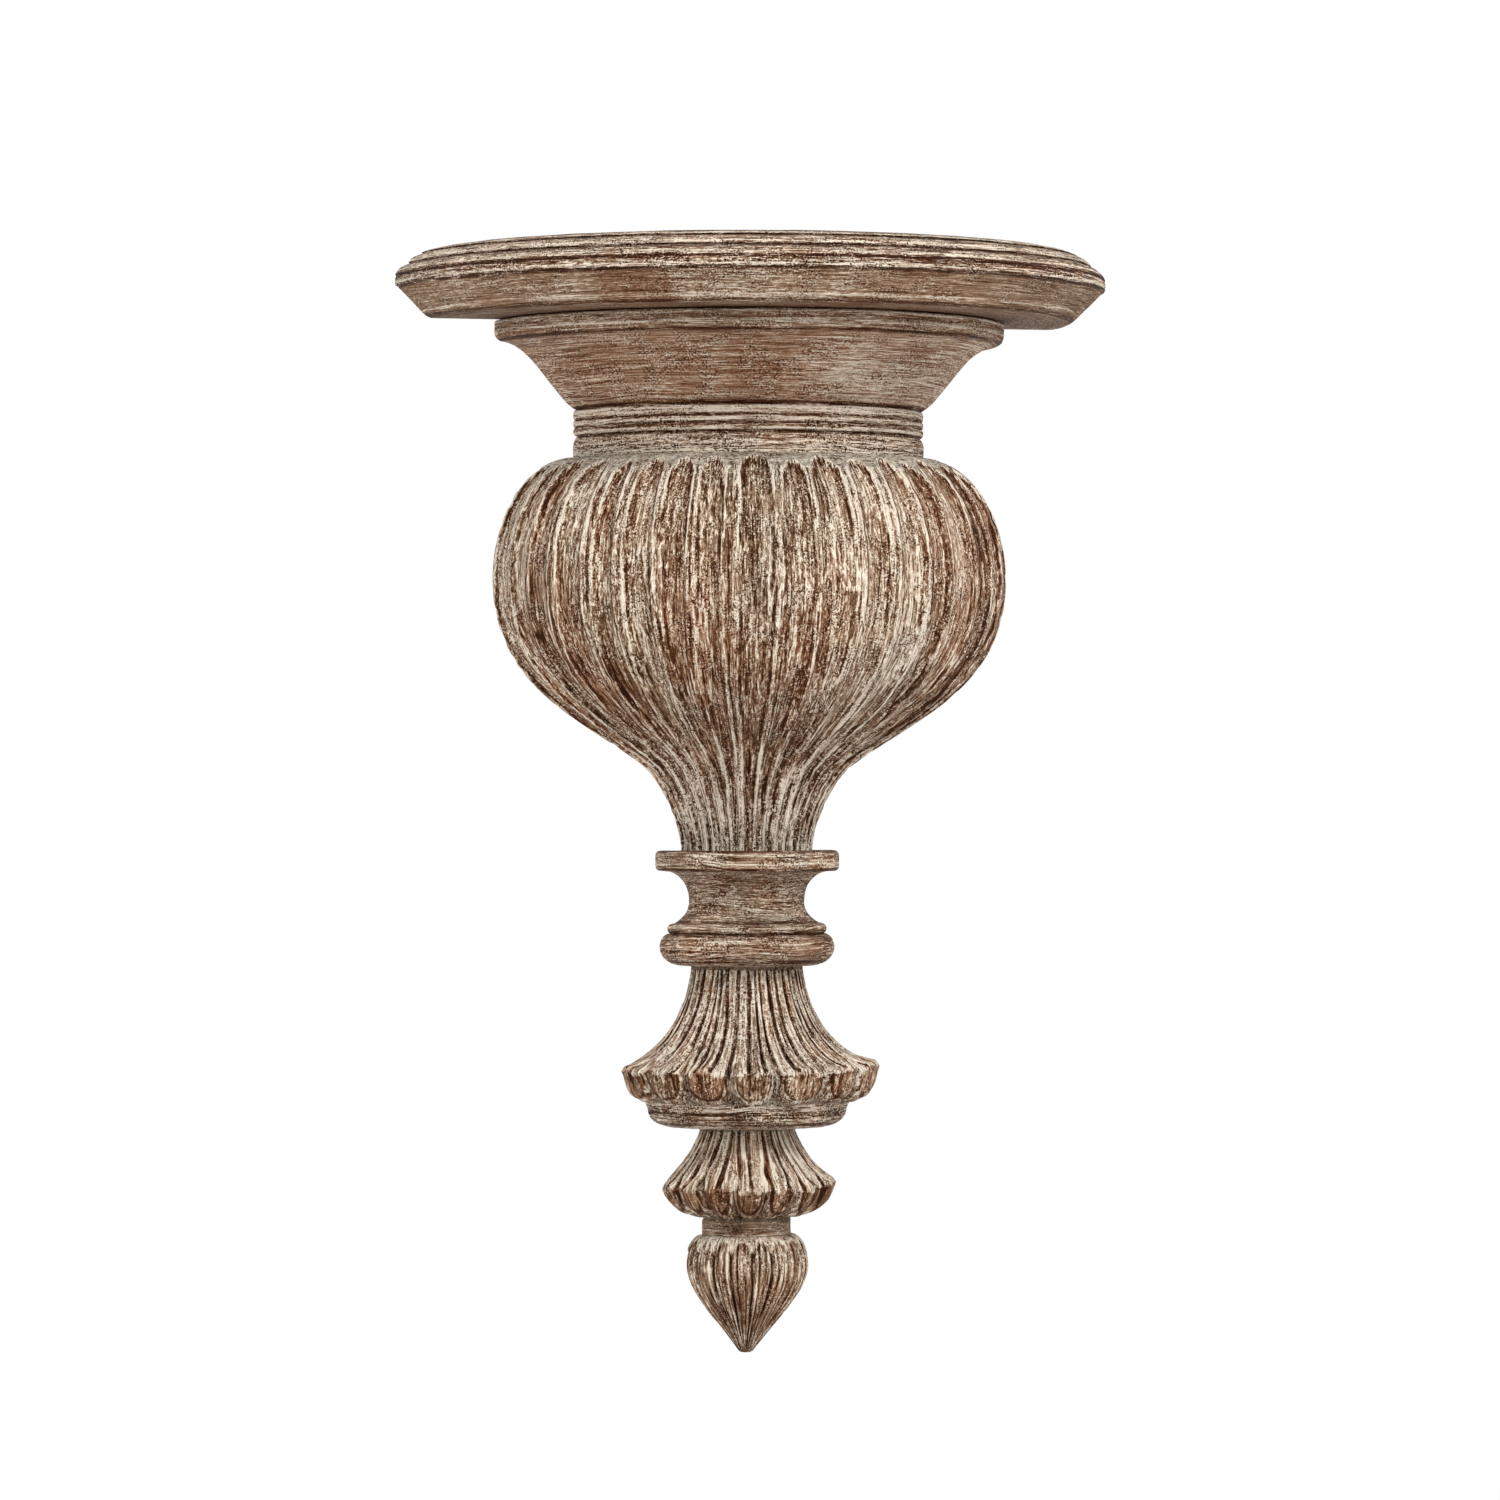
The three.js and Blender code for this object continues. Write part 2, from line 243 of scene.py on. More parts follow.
class Outline:
    """A turned outline as rows of (radius, level), each row with the name of its section."""

    def __init__(self, radius, level, section):
        self.points = [np.array([[radius, level]], float)]
        self.sections = [section]
        self.start(section)

    @property
    def last(self):
        return self.points[-1][-1]

    def start(self, section):
        self.section = section
        self.pitch = PITCHES[section]

    def add(self, made):
        self.points.append(made)
        self.sections += [self.section] * len(made)

    def steps(self, end, slack):
        length = np.linalg.norm(end - self.last) * slack
        return np.linspace(0, 1, max(2, int(round(length / self.pitch)) + 1))[1:, None]

    def line(self, radius, level):
        end = np.array([radius, level], float)
        self.add(self.last + (end - self.last) * self.steps(end, 1))

    def quarter(self, corner, end):
        """A quarter of an ellipse, which leaves and arrives towards the corner."""
        start = self.last
        end = np.array(end, float)
        centre = start + end - np.array(corner, float)
        turn = self.steps(end, 1.11) * QUARTER_TURN
        self.add(centre + (start - centre) * np.cos(turn) + (end - centre) * np.sin(turn))

    def bend(self, control, end):
        start = self.last
        control = np.array(control, float)
        end = np.array(end, float)
        t = self.steps(end, 1.05)
        self.add((1 - t) ** 2 * start + 2 * t * (1 - t) * control + t ** 2 * end)

    def sweep(self, first_handle, second_handle, end):
        """A curve whose handles are shares of the way, in and down."""
        start = self.last
        end = np.array(end, float)
        first = between(start, end, *first_handle)
        second = between(start, end, *second_handle)
        t = self.steps(end, 1.08)
        self.add((1 - t) ** 3 * start + 3 * t * (1 - t) ** 2 * first
                 + 3 * t ** 2 * (1 - t) * second + t ** 3 * end)

    def rows(self):
        return np.vstack(self.points), np.array(self.sections)


def add_bead(o, top, bottom, radius, sink):
    """A half-round bead, and the groove under it."""
    middle = (top + bottom) / 2
    o.quarter((radius, top), (radius, middle))
    o.quarter((radius, bottom), (radius - sink, bottom))


def add_capital(o):
    """The lip, the cove, and the neck with its beads and grooves."""
    o.line(LIP_RADIUS - LIP_ARRIS, LIP_TOP)
    o.line(LIP_RADIUS, LIP_TOP - LIP_ARRIS)
    o.line(LIP_RADIUS, COVE_TOP + LIP_NOSE)
    o.bend((LIP_RADIUS, COVE_TOP - LIP_FALL / 4), (LIP_RADIUS - LIP_TUCK, COVE_TOP - LIP_FALL))
    o.pitch = COVE_PITCH
    o.sweep((0.45, 0.04), (0.69, 0.84), (NECK_RADIUS - NECK_UNDERCUT, NECK_TOP))
    o.pitch = NECK_PITCH
    for drop, sink in NECK_GROOVES:
        add_bead(o, o.last[1], NECK_TOP - drop, NECK_RADIUS, sink)
    o.bend((NECK_RADIUS + NECK_SWELL, NECK_TOP - NECK_SWELL_DROP), (NECK_RADIUS, BULB_TOP))


def add_bulb(o):
    o.start("bulb")
    widest = np.array([BULB_RADIUS, BULB_TOP - BULB_SHOULDER_HEIGHT])
    foot = np.array([FOOT_RADIUS, RING_TOP])
    o.quarter((BULB_RADIUS, BULB_TOP), widest)
    o.sweep((0, 0.59), (0.63, 0.76), between(widest, foot, 0.8, 0.69))
    o.sweep((0.48, 0.18), (1, 0.72), foot)


def add_spool(o):
    """The ring, the hollow waist, the thin bead and the torus."""
    o.start("spool")
    o.line(RING_RADIUS - RING_ROUND, RING_TOP)
    o.quarter((RING_RADIUS, RING_TOP), (RING_RADIUS, RING_TOP - RING_ROUND))
    o.line(RING_RADIUS, WAIST_TOP + RING_ROUND)
    o.quarter((RING_RADIUS, WAIST_TOP), (RING_RADIUS - RING_ROUND, WAIST_TOP))
    o.line(RING_RADIUS - RING_LEDGE, WAIST_TOP)
    o.quarter((WAIST_RADIUS, WAIST_TOP), (WAIST_RADIUS, WAIST_TOP - WAIST_HEIGHT / 2))
    o.bend((WAIST_RADIUS, BEAD_TOP + BEAD_LEDGE), (BEAD_RADIUS - BEAD_LEDGE, BEAD_TOP))
    o.pitch = BEAD_PITCH
    o.quarter((BEAD_RADIUS, BEAD_TOP), (BEAD_RADIUS, TORUS_TOP))
    o.quarter((BEAD_RADIUS, BEAD_BOTTOM), (BEAD_RADIUS - 2, BEAD_BOTTOM))
    o.start("spool")
    torus_middle = BEAD_BOTTOM + (BELL_TOP - BEAD_BOTTOM) * TORUS_MIDDLE
    o.quarter((TORUS_RADIUS, BEAD_BOTTOM), (TORUS_RADIUS, torus_middle))
    o.quarter((TORUS_RADIUS, BELL_TOP), (BELL_TOP_RADIUS + TORUS_LEDGE, BELL_TOP))
    o.line(BELL_TOP_RADIUS, BELL_TOP)


def add_bell(o, bell):
    """A flare down to a rounded rim, and the curve under it."""
    o.sweep(*bell.handles, (bell.rim_radius - bell.rounding, bell.rim + 1.3 * bell.rounding))
    o.bend((bell.rim_radius, bell.rim + 0.6 * bell.rounding),
           (bell.rim_radius, bell.rim - 0.6 * bell.rounding))
    corner = bell.rim_radius + (bell.foot_radius - bell.rim_radius) * 0.15
    o.quarter((corner, bell.foot), (bell.foot_radius, bell.foot))


def add_disc(o):
    o.start("disc")
    face = DISC_RADIUS - DISC_TAPER
    o.line(DISC_RADIUS, DISC_TOP)
    o.line(face, DISC_TOP - DISC_EDGE)
    o.quarter((face, SMALL_TOP), (DISC_UNDER_RADIUS, SMALL_TOP))
    o.line(SMALL_TOP_RADIUS, SMALL_TOP)


def add_bud(o):
    """The collar and the pointed bud under it."""
    o.start("collar")
    o.line(COLLAR_RADIUS, BUD_TOP)
    o.start("bud")
    o.quarter((BUD_RADIUS, BUD_TOP), (BUD_RADIUS, BUD_TOP - BUD_SHOULDER_HEIGHT))
    o.sweep((0, 0.3), (0.45, 0.55), (TIP_RADIUS, TIP + TIP_ROUND))
    o.bend((TIP_RADIUS - 1, TIP), (TIP_FLAT, TIP))


def body_outline():
    o = Outline(LIP_RADIUS - SEAT_WIDTH, LIP_TOP, "capital")
    add_capital(o)
    add_bulb(o)
    add_spool(o)
    o.start("bell")
    add_bell(o, LARGE_BELL)
    add_disc(o)
    o.start("small_bell")
    add_bell(o, SMALL_BELL)
    add_bud(o)
    return o.rows()


def add_reeds(o):
    """The stepped reeds, and the plain band under them."""
    first = np.array([SHELF_RADIUS - REED_WIDTH, SHELF_TOP])
    last = np.array([SHELF_RADIUS, SHELF_TOP - REED_DROP])
    band_bottom = SHELF_TOP - BAND_DROP
    for width, drop in REEDS:
        start = o.last
        end = between(first, last, width, drop)
        o.bend(between(start, end, 0.75, 0.2), end)
        o.line(end[0] - REED_QUIRK, end[1] - REED_QUIRK)
    o.bend((SHELF_RADIUS, last[1] - 1), (SHELF_RADIUS, last[1] - 3))
    o.line(SHELF_RADIUS, band_bottom + 1.5)
    o.bend((SHELF_RADIUS, band_bottom), (SHELF_RADIUS - BAND_ROUND, band_bottom))


def add_chamfer(o):
    start = np.array([SHELF_RADIUS - BAND_ROUND, SHELF_TOP - BAND_DROP])
    end = np.array([SHELF_RADIUS - CHAMFER_WIDTH, SHELF_BOTTOM])
    o.start("chamfer")
    o.line(*between(start, end, 0.7, 0.74))
    o.bend(between(start, end, 0.9, 0.97), between(start, end, 1.05, 1))


def shelf_outline():
    reeds_start = SHELF_RADIUS - REED_WIDTH
    o = Outline(reeds_start - SEAT_WIDTH, SHELF_TOP, "shelf_top")
    o.line(reeds_start, SHELF_TOP)
    o.start("reeds")
    add_reeds(o)
    add_chamfer(o)
    o.start("underside")
    o.line(LIP_RADIUS - 12, SHELF_BOTTOM)
    return o.rows()


# Seeded noise on the grid of rows and columns

def soft_noise(shape, cells, seed):
    """Smooth noise from -1 to 1 with the given number of cells down and across."""
    lattice = np.random.default_rng(seed).uniform(-1, 1, (cells[0] + 2, cells[1] + 2))
    rows = np.linspace(0, cells[0], shape[0])
    columns = np.linspace(0, cells[1], shape[1])
    i = rows.astype(int)
    j = columns.astype(int)
    down = ease(rows - i)[:, None]
    across = ease(columns - j)[None, :]
    upper = lattice[i][:, j] * (1 - across) + lattice[i][:, j + 1] * across
    lower = lattice[i + 1][:, j] * (1 - across) + lattice[i + 1][:, j + 1] * across
    return upper * (1 - down) + lower * down


def ease(share):
    return share * share * (3 - 2 * share)


def fade(low, high, value):
    """0 up to low, 1 from high on, and a smooth rise between."""
    return ease(np.clip((value - low) / (high - low), 0, 1))


def bump(value, centre, width):
    return np.exp(-((value - centre) / width) ** 2)


def along_stops(value, stops):
    """The value between stops, given as pairs of a place and the value there."""
    return np.interp(value, *zip(*stops))


class Patch:
    """The grid of one section: where it is, how deep it's cut, and how the wash lies on it.

    cut is the depth along the surface normal and drop moves corners down. pale and dark are the
    distances from the nearest pale line on an arris and the nearest dark line, a painted shadow
    line in a groove. tone is from dark wood below zero to pale wash above it, grey is the share of
    greyish wash and red of reddish stain. along is 1 where streaks run down the carving and 0 where
    they run around the turning, contrast is their strength, and crowd is 1 where the carving draws
    together. sway moves streaks around the turning up and down.
    """

    def __init__(self, angles, path, radius, level):
        self.angles = angles[None, :]
        self.path = path[:, None]
        self.radius = radius[:, None]
        self.level = level[:, None]
        self.shape = (len(path), len(angles))
        self.around = self.angles * radius.max() * MM
        self.cut = self.drop = self.sway = 0.0
        self.tone = self.grey = self.red = 0.0
        self.along = self.crowd = 0.0
        self.pale = self.dark = FAR
        self.contrast = 1.0

    def noise(self, down, around, seed):
        return soft_noise(self.shape, (down, around), seed)

    def divide(self, count, seed, cells, wander, uneven):
        """Splits the half turn into parts with wandering borders, some wider than others.

        Gives each corner's part, its place there from -0.5 to 0.5, and how wide the part is.
        """
        borders = np.arange(count + 1.0)
        borders[1:-1] += np.random.default_rng(seed + 500).uniform(-uneven, uneven, count - 1)
        steady = fade(0, 0.08, QUARTER_TURN - np.abs(self.angles))
        across = (self.angles + QUARTER_TURN) / HALF_TURN * count
        across = across + self.noise(*cells, seed) * wander * steady
        part = np.clip(np.searchsorted(borders, across, side="right") - 1, 0, count - 1)
        share = np.diff(borders)[part]
        return part, (across - borders[part]) / share - 0.5, HALF_TURN / count * self.radius * share

    def pale_lines(self, *distances):
        for distance in distances:
            self.pale = np.minimum(self.pale, np.abs(distance))

    # Dark lines are painted shadow along the grooves and beside the fillets
    def dark_lines(self, *distances):
        for distance in distances:
            self.dark = np.minimum(self.dark, np.abs(distance))

    def rings(self, pale, dark, strength=0.0):
        """Pale lines, and dark lines of painted shadow, around the turning at the given levels."""
        seed = int(abs(pale[0]) * 10)
        waver = 0.25 * self.noise(2, 30, seed)
        self.pale_lines(*(self.level - level + waver for level in pale))
        self.dark_lines(*(self.level - level + waver for level in dark))
        uneven = strength * (1 + 0.8 * self.noise(6, 24, seed + 1))
        self.tone += uneven * sum(bump(self.level, level, 1.0) for level in pale)
        self.tone -= uneven * sum(bump(self.level, level, 0.9) for level in dark)

    def spot(self, angle, level, wide, high):
        """A soft patch at a place on the surface; angle in degrees from the front."""
        return (bump(self.angles, math.radians(angle), math.radians(wide))
                * bump(self.level, level, high))


# The bulb's flutes

def lay_out_flutes(p):
    """Where the flutes run. Each draws its own width, depth, head, ridge and tint."""
    flute, place, pitch = p.divide(BULB_FLUTES, 11, (6, 50), 0.07, 0.2)
    rng = np.random.default_rng(5)

    def each(low, high):
        return rng.uniform(low, high, BULB_FLUTES)[flute]

    width = each(0.62, 0.88)
    f = SimpleNamespace(place=place, pitch=pitch)
    f.deep = each(0.85, 1.15)
    f.head = each(11.0, 18.0)
    f.ridge = each(-0.5, 1.0)
    f.tint = each(-0.11, 0.11)
    f.ridge_place = each(-0.12, 0.12)
    f.fineness = (pitch / 25) ** 0.6
    f.head_height = 1.2 * width * HALF_TURN / BULB_FLUTES * BULB_RADIUS
    f.up_head = np.clip((f.head + f.head_height - p.path) / f.head_height, 0, None)
    f.from_middle = np.hypot(place / (width / 2), f.up_head)
    f.hollow = np.clip(1 - f.from_middle ** 2, 0, 1) ** 0.6
    f.edge = (f.from_middle - 1) * width / 2 * pitch / f.fineness
    f.above = fade(0.95, 1.3, f.from_middle) * fade(50, 30, p.path)
    f.chips = fade(0.05, 0.6, p.noise(70, 110, 42))
    f.crowded = fade(110, 60, p.radius)
    f.down = p.path / p.path.max()
    f.grey_patch = sum(strength * p.spot(angle, NECK_TOP - drop, wide, high)
                       for angle, drop, wide, high, strength in GREY_PATCHES)
    f.grey_patch += 0.3 * fade(0.2, 0.7, p.noise(5, 20, 46))
    return f


def cut_flutes(p, f):
    """Hollows between narrow fillets, some with a ridge down the middle, chipped and tooled."""
    fullness = fade(FOOT_RADIUS, BULB_RADIUS, p.radius)
    ridge = bump(f.place, f.ridge_place, 0.06) * np.clip(f.ridge, 0, 1) * fade(30, 60, p.path)
    depth = FLUTE_FOOT_DEPTH + FLUTE_SWELL_DEPTH * fullness
    p.cut = depth * f.deep * f.hollow * (1 - 0.5 * ridge)
    p.cut += FLUTE_MARK_DEPTH * (p.noise(14, 240, 41) + 1) * (0.4 + 0.6 * f.hollow)
    p.cut += CHIP_DEPTH * f.chips


def line_flutes(p, f):
    """Pale lines on the arrises and ridges, and dark lines of painted shadow inside the flutes and between
    them.
    """
    border = (0.5 - np.abs(f.place)) * f.pitch / f.fineness
    ridge = (f.place - f.ridge_place) * f.pitch / f.fineness
    no_ridge = np.where(f.ridge > 0.2, 0, FAR) + FAR * (f.up_head > 0)
    over_head = FAR * (p.path < f.head + f.head_height / 3)
    p.pale_lines(f.edge - 0.8, ridge + no_ridge)
    p.pale += 1.6 * fade(-0.1, 0.5, p.noise(10, 80, 48)) * fade(50, 80, p.path)
    p.dark_lines(f.edge + 0.9, border + over_head)


def tone_flutes(p, f):
    """Dark inside the heads with painted shadow just under each arch, pale between them, and pale fillets
    where the flutes crowd together.
    """
    in_head = f.hollow * fade(1, 0, np.abs(p.path - f.head - 12) / 24)
    flecks = fade(30, 14, p.path) * p.noise(60, 260, 47)
    arch_rim_and_shadow = bump(f.edge, 0.4, 1.1) - bump(f.edge, -2.0, 1.3)
    p.tone = 0.14 * bump(f.from_middle, 1.15, 0.3) - 0.04 * f.hollow + f.tint + 0.08 * p.noise(5, 16, 44)
    p.tone += 0.1 * f.above - 0.12 * in_head + 0.3 * flecks
    p.tone -= f.crowded * (0.64 * f.hollow - 0.46)
    p.tone -= 0.35 * f.crowded * f.chips * f.hollow
    # A pale rim just outside each arched head, and painted shadow in the hollow just under it
    p.tone += 0.24 * arch_rim_and_shadow * fade(80, 40, p.path)
    p.tone += along_stops(f.down, BULB_TONES)
    p.tone += 0.06 * f.grey_patch - 0.06 * fade(0.2, 0.9, p.angles)


def stain_flutes(p, f):
    """Greyish wash over the heads, at the foot and in patches, and reddish stain elsewhere."""
    p.grey = np.clip(0.8 * f.above + along_stops(f.down, BULB_GREYS), 0, 1)
    p.grey = np.clip(p.grey + 0.5 * f.grey_patch, 0, 1)
    p.red = np.clip(0.5 + 0.9 * p.noise(5, 18, 45), 0, 1.2) * (1 - 0.6 * np.clip(f.grey_patch, 0, 1))
    p.contrast = 1.05 + 0.8 * fade(35, 8, p.path) + 0.6 * fade(0.75, 0.95, f.down)
    p.along = 1.0 - (f.from_middle > 1.12) * (p.path < 24)
    p.crowd = f.crowded


def carve_bulb(p):
    """Flutes: arch-headed channels between narrow fillets, none quite alike."""
    flutes = lay_out_flutes(p)
    cut_flutes(p, flutes)
    line_flutes(p, flutes)
    tone_flutes(p, flutes)
    stain_flutes(p, flutes)


# The bells: strips down the flare end in proud tongues at the rim, with round lobes under them

def lay_out_bell(p, bell):
    """Where the lobes and the strips lie, with a tint for each and a reach for each tongue."""
    b = SimpleNamespace()
    strips = bell.strips * BELL_LOBES
    lobe, b.place, b.pitch = p.divide(BELL_LOBES, bell.seed, (3, 16), 0.035, 0.08)
    strip, strip_place, b.strip_pitch = p.divide(strips, bell.seed, (3, 16), bell.slant, 0.34)
    rng = np.random.default_rng(bell.seed)
    b.tint = rng.uniform(-0.1, 0.1, strips)[strip]
    reach = rng.uniform(0.2, 1.0, strips)[strip]
    b.lobe_tint = rng.uniform(-0.06, 0.06, BELL_LOBES)[lobe]
    b.fullness = (p.radius - bell.top_radius) / (bell.rim_radius - bell.top_radius)
    b.below = p.level <= bell.rim
    b.down = np.clip((bell.rim - p.level) / (bell.rim - p.level.min()), 0, 1)
    b.strip_side = (0.5 - np.abs(strip_place)) * b.strip_pitch
    b.grooves = bump(b.strip_side, 0, 0.13 * b.strip_pitch) * (0.75 + 0.35 * p.noise(10, 60, bell.seed + 8))
    cup_low = np.clip((b.down - 0.35) / 0.56, 0, None)
    b.cup = np.hypot(np.abs(b.place / 0.42) ** 1.3, cup_low ** 1.3) + 0.06 * p.noise(3, 60, bell.seed + 6)
    b.gouge = bump(b.down, 0.25, 0.3) * fade(0.1, 0.7, p.noise(3, 90, bell.seed + 5)) * b.below
    b.tongue = reach * np.clip(1 - (2 * strip_place) ** 4 + 0.4 * p.noise(2, 90, bell.seed + 9), 0, 1)
    b.past_tongue = fade(0.0, 1.2, bell.rim - p.level - bell.hang * b.tongue)
    return b


def cut_bell(p, bell, b):
    """Grooves between the strips, which give way to the gaps between the lobes, and the tongues."""
    side = 0.5 - np.abs(b.place)
    roundness = np.where(b.below, 1.0, fade(0.7, 1.0, b.fullness))
    deepening = np.where(b.below, 1.0, 0.3 + 0.7 * fade(0.2, 0.9, b.fullness))
    flare_cut = deepening * np.clip(0.85 * b.grooves + 0.1, 0, 1) * (1 - 0.6 * roundness)
    lobe_cut = deepening * roundness * (0.5 * (2 * np.abs(b.place)) ** 2.2 + 0.35 * bump(side, 0, 0.08))
    p.cut = bell.depth * np.clip(flare_cut * ~b.below + lobe_cut, 0, 1.05)
    p.cut += 0.12 * bell.depth * fade(0.04, 0.14, b.down) * fade(0.9, 0.3, b.down)
    p.cut += 0.16 * bell.depth * b.below * fade(0.94, 1.1, b.cup) * fade(1.0, 0.85, b.down)
    p.cut += GOUGE_DEPTH * b.gouge
    p.cut += BELL_MARK_DEPTH * (p.noise(16, 150, bell.seed + 2) + 1)
    near_rim = np.where(b.below, fade(0.6, 0, b.down), fade(0.5, 1, b.fullness))
    raised = bell.lift * fade(0.2, 1.2, p.angles)
    p.drop = near_rim * (bell.hang * (b.tongue - 0.3) - raised)


def line_bell(p, b):
    """Dark lines of painted shadow between the strips and around the lobes, with pale lines beside them."""
    from_groove = b.strip_side / (b.strip_pitch / 9) ** 0.6
    to_cup = (b.cup - 1) * 0.44 * b.pitch
    p.dark_lines(np.where(b.below, to_cup + 2.0, np.maximum(from_groove - 0.4, 0)))
    p.pale_lines(np.where(b.below, 24 * to_cup / b.pitch, from_groove - 2.3))


def tone_bell(p, bell, b):
    """Washed strips with their own tints, browner lobes on a paler ground, and painted shadow under the
    tongues.
    """
    outside = fade(0.9, 1.1, b.cup) * b.past_tongue
    in_cup = b.past_tongue - outside
    shadow_under_tongue = b.past_tongue * fade(0.2, 0.05, b.down)
    tongue_end = (1 - b.past_tongue) * fade(0.9, 1.0, b.fullness)
    grey_wash = fade(-0.3, 0.5, p.noise(4, 20, bell.seed + 7))
    p.tone = (1 - b.past_tongue) * (bell.flare_tone - 0.2 * b.grooves + b.tint)
    p.tone += b.past_tongue * bell.lobe_tone + 0.06 * outside + b.lobe_tint * in_cup
    # Painted shadow on the lobes just under the tongues' ends at the rim
    p.tone += bell.tip_tone * tongue_end - 0.2 * shadow_under_tongue - 0.2 * b.gouge * in_cup
    p.tone += 0.14 * p.noise(6, 26, bell.seed + 3)
    p.grey = (0.25 + 0.4 * grey_wash) * (1 - b.past_tongue)
    p.grey += (0.2 * outside + 0.15 * grey_wash) * b.past_tongue
    p.red = np.clip(0.45 + 0.6 * p.noise(6, 30, bell.seed + 4), 0, 1) * (1 - 0.6 * outside)
    p.contrast = bell.contrast - 0.1 * in_cup
    p.along = 1.0
    p.crowd = fade(0.7, 0.2, b.fullness) * ~b.below


def carve_bell(p, bell):
    places = lay_out_bell(p, bell)
    cut_bell(p, bell, places)
    line_bell(p, places)
    tone_bell(p, bell, places)


# The bud's ribs

def lay_out_ribs(p):
    """Where the ribs lie, their arched heads and the fillets beside their grooves."""
    rib, place, pitch = p.divide(BUD_RIBS, 31, (4, 20), 0.04, 0.1)
    r = SimpleNamespace(place=place)
    r.tint = np.random.default_rng(7).uniform(-0.06, 0.06, BUD_RIBS)[rib]
    r.from_head = p.path - 34 * place ** 2
    r.head = fade(4.0, 8.0, r.from_head)
    r.side = 0.5 - np.abs(place)
    r.groove = bump(r.side, 0, 0.09)
    r.fillet = 0.17
    r.scale = pitch / (pitch / 20) ** 0.6
    return r


def cut_ribs(p, r):
    strength = np.clip(p.radius / (BUD_RADIUS / 2), 0, 1) * r.head
    p.cut = RIB_DEPTH * strength * ((2 * np.abs(r.place)) ** 2.4 * 0.5 + 0.55 * r.groove)
    p.cut += RIB_FILLET_DEPTH * strength * bump(np.abs(r.place), r.fillet, 0.06)
    p.cut += RIB_MARK_DEPTH * (p.noise(10, 120, 34) + 1)


def line_ribs(p, r):
    hidden = FAR * (r.head < 0.3)
    p.dark_lines(np.maximum(r.side * r.scale - 0.4, 0) + hidden,
                 (np.abs(r.place) - r.fillet) * r.scale + hidden)
    p.pale_lines((r.side - r.fillet) * r.scale + hidden)
    p.pale += 0.3
    p.dark += 0.2


def tone_ribs(p, r):
    """Pale over the heads and dark just inside them."""
    p.tone = 0.05 + r.tint + 0.12 * p.noise(5, 24, 32) - 0.12 * r.groove * r.head
    p.tone += along_stops(p.path, BUD_TONES)
    p.tone += 0.2 * bump(r.from_head, 4.0, 1.6) - 0.28 * bump(r.from_head, 9.0, 2.6)
    p.grey = np.clip(0.7 - p.path / 60, 0.1, 1)
    p.red = np.clip(0.4 + 0.5 * p.noise(4, 10, 33), 0, 1)
    p.contrast = 0.72
    p.along = 1.0
    p.crowd = fade(30, 15, p.radius)


def carve_bud(p):
    """Ribs with arched heads, a deep groove between each pair and fillets beside it."""
    ribs = lay_out_ribs(p)
    cut_ribs(p, ribs)
    line_ribs(p, ribs)
    tone_ribs(p, ribs)


# The plainly turned sections

def turned_marks(p, seed, strength):
    """Fine turning lines and soft wear."""
    rows = p.shape[0]
    rings = np.random.default_rng(seed).uniform(0, 1, rows)[:, None]
    wander = 0.6 + 0.4 * p.noise(max(2, rows // 4), 24, seed + 1)
    wear = 0.4 * (p.noise(max(2, rows // 8), 30, seed + 2) + 1)
    p.cut = strength * (0.45 * rings * wander + wear)
    p.red = np.clip(0.4 + 0.45 * p.noise(3, 8, seed + 3), 0, 1)
    p.tone = 0.05 * p.noise(max(2, rows // 5), 10, seed + 4) - 0.06
    p.sway = 1.2 * p.noise(2, 9, seed + 5)
    p.contrast = 0.6


def line_capital(p):
    """Strong lines at the neck's top and last groove, faint ones at the lip and the beads."""
    first, second, third = (NECK_TOP - drop for drop, sink in NECK_GROOVES)
    p.rings([NECK_TOP - 1.6, third + 1.6], [NECK_TOP + 0.6, third - 0.2], 0.3)
    p.rings([LIP_TOP - 1.6, COVE_TOP + 3.4, NECK_TOP - 4.2, second + 2],
            [COVE_TOP - 1.6, first, second, third + 3.6], 0.12)


def tone_capital(p):
    """A browner cove, paler to the right, and a pale neck with speckled wash at its foot."""
    in_neck = fade(NECK_TOP + 1, NECK_TOP - 1, p.level)
    in_cove = fade(COVE_TOP, COVE_TOP - 4, p.level) * (1 - in_neck)
    foot_edge = BULB_TOP + 4 + 3 * p.noise(2, 60, 65)
    at_foot = fade(foot_edge + 1.5, foot_edge - 1.5, p.level)
    worn = p.spot(18, NECK_TOP + 16, 12, 16)
    p.around = (1 - 0.4 * in_cove) * p.around
    p.tone += (0.06 + 0.25 * p.noise(50, 90, 66)) * at_foot - 0.14 * bump(p.level, foot_edge + 4, 4)
    p.tone += 0.14 + 0.16 * in_neck + 0.01 * in_cove
    p.tone += 0.13 * in_cove * fade(-0.3, 0.4, p.angles)
    p.tone += 0.05 * worn - 0.06 * p.spot(-14, NECK_TOP + 22, 16, 12)
    p.red += 0.5 * p.spot(-14, NECK_TOP + 20, 18, 14) - 0.4 * worn
    p.red += 0.7 * in_cove
    p.grey = 0.45 * at_foot + 0.1 * in_neck * p.noise(5, 12, 64)
    p.contrast = 0.8 + 0.6 * in_neck + 0.7 * bump(p.level, BULB_TOP, 9)


def carve_capital(p):
    turned_marks(p, 61, 0.4)
    line_capital(p)
    tone_capital(p)


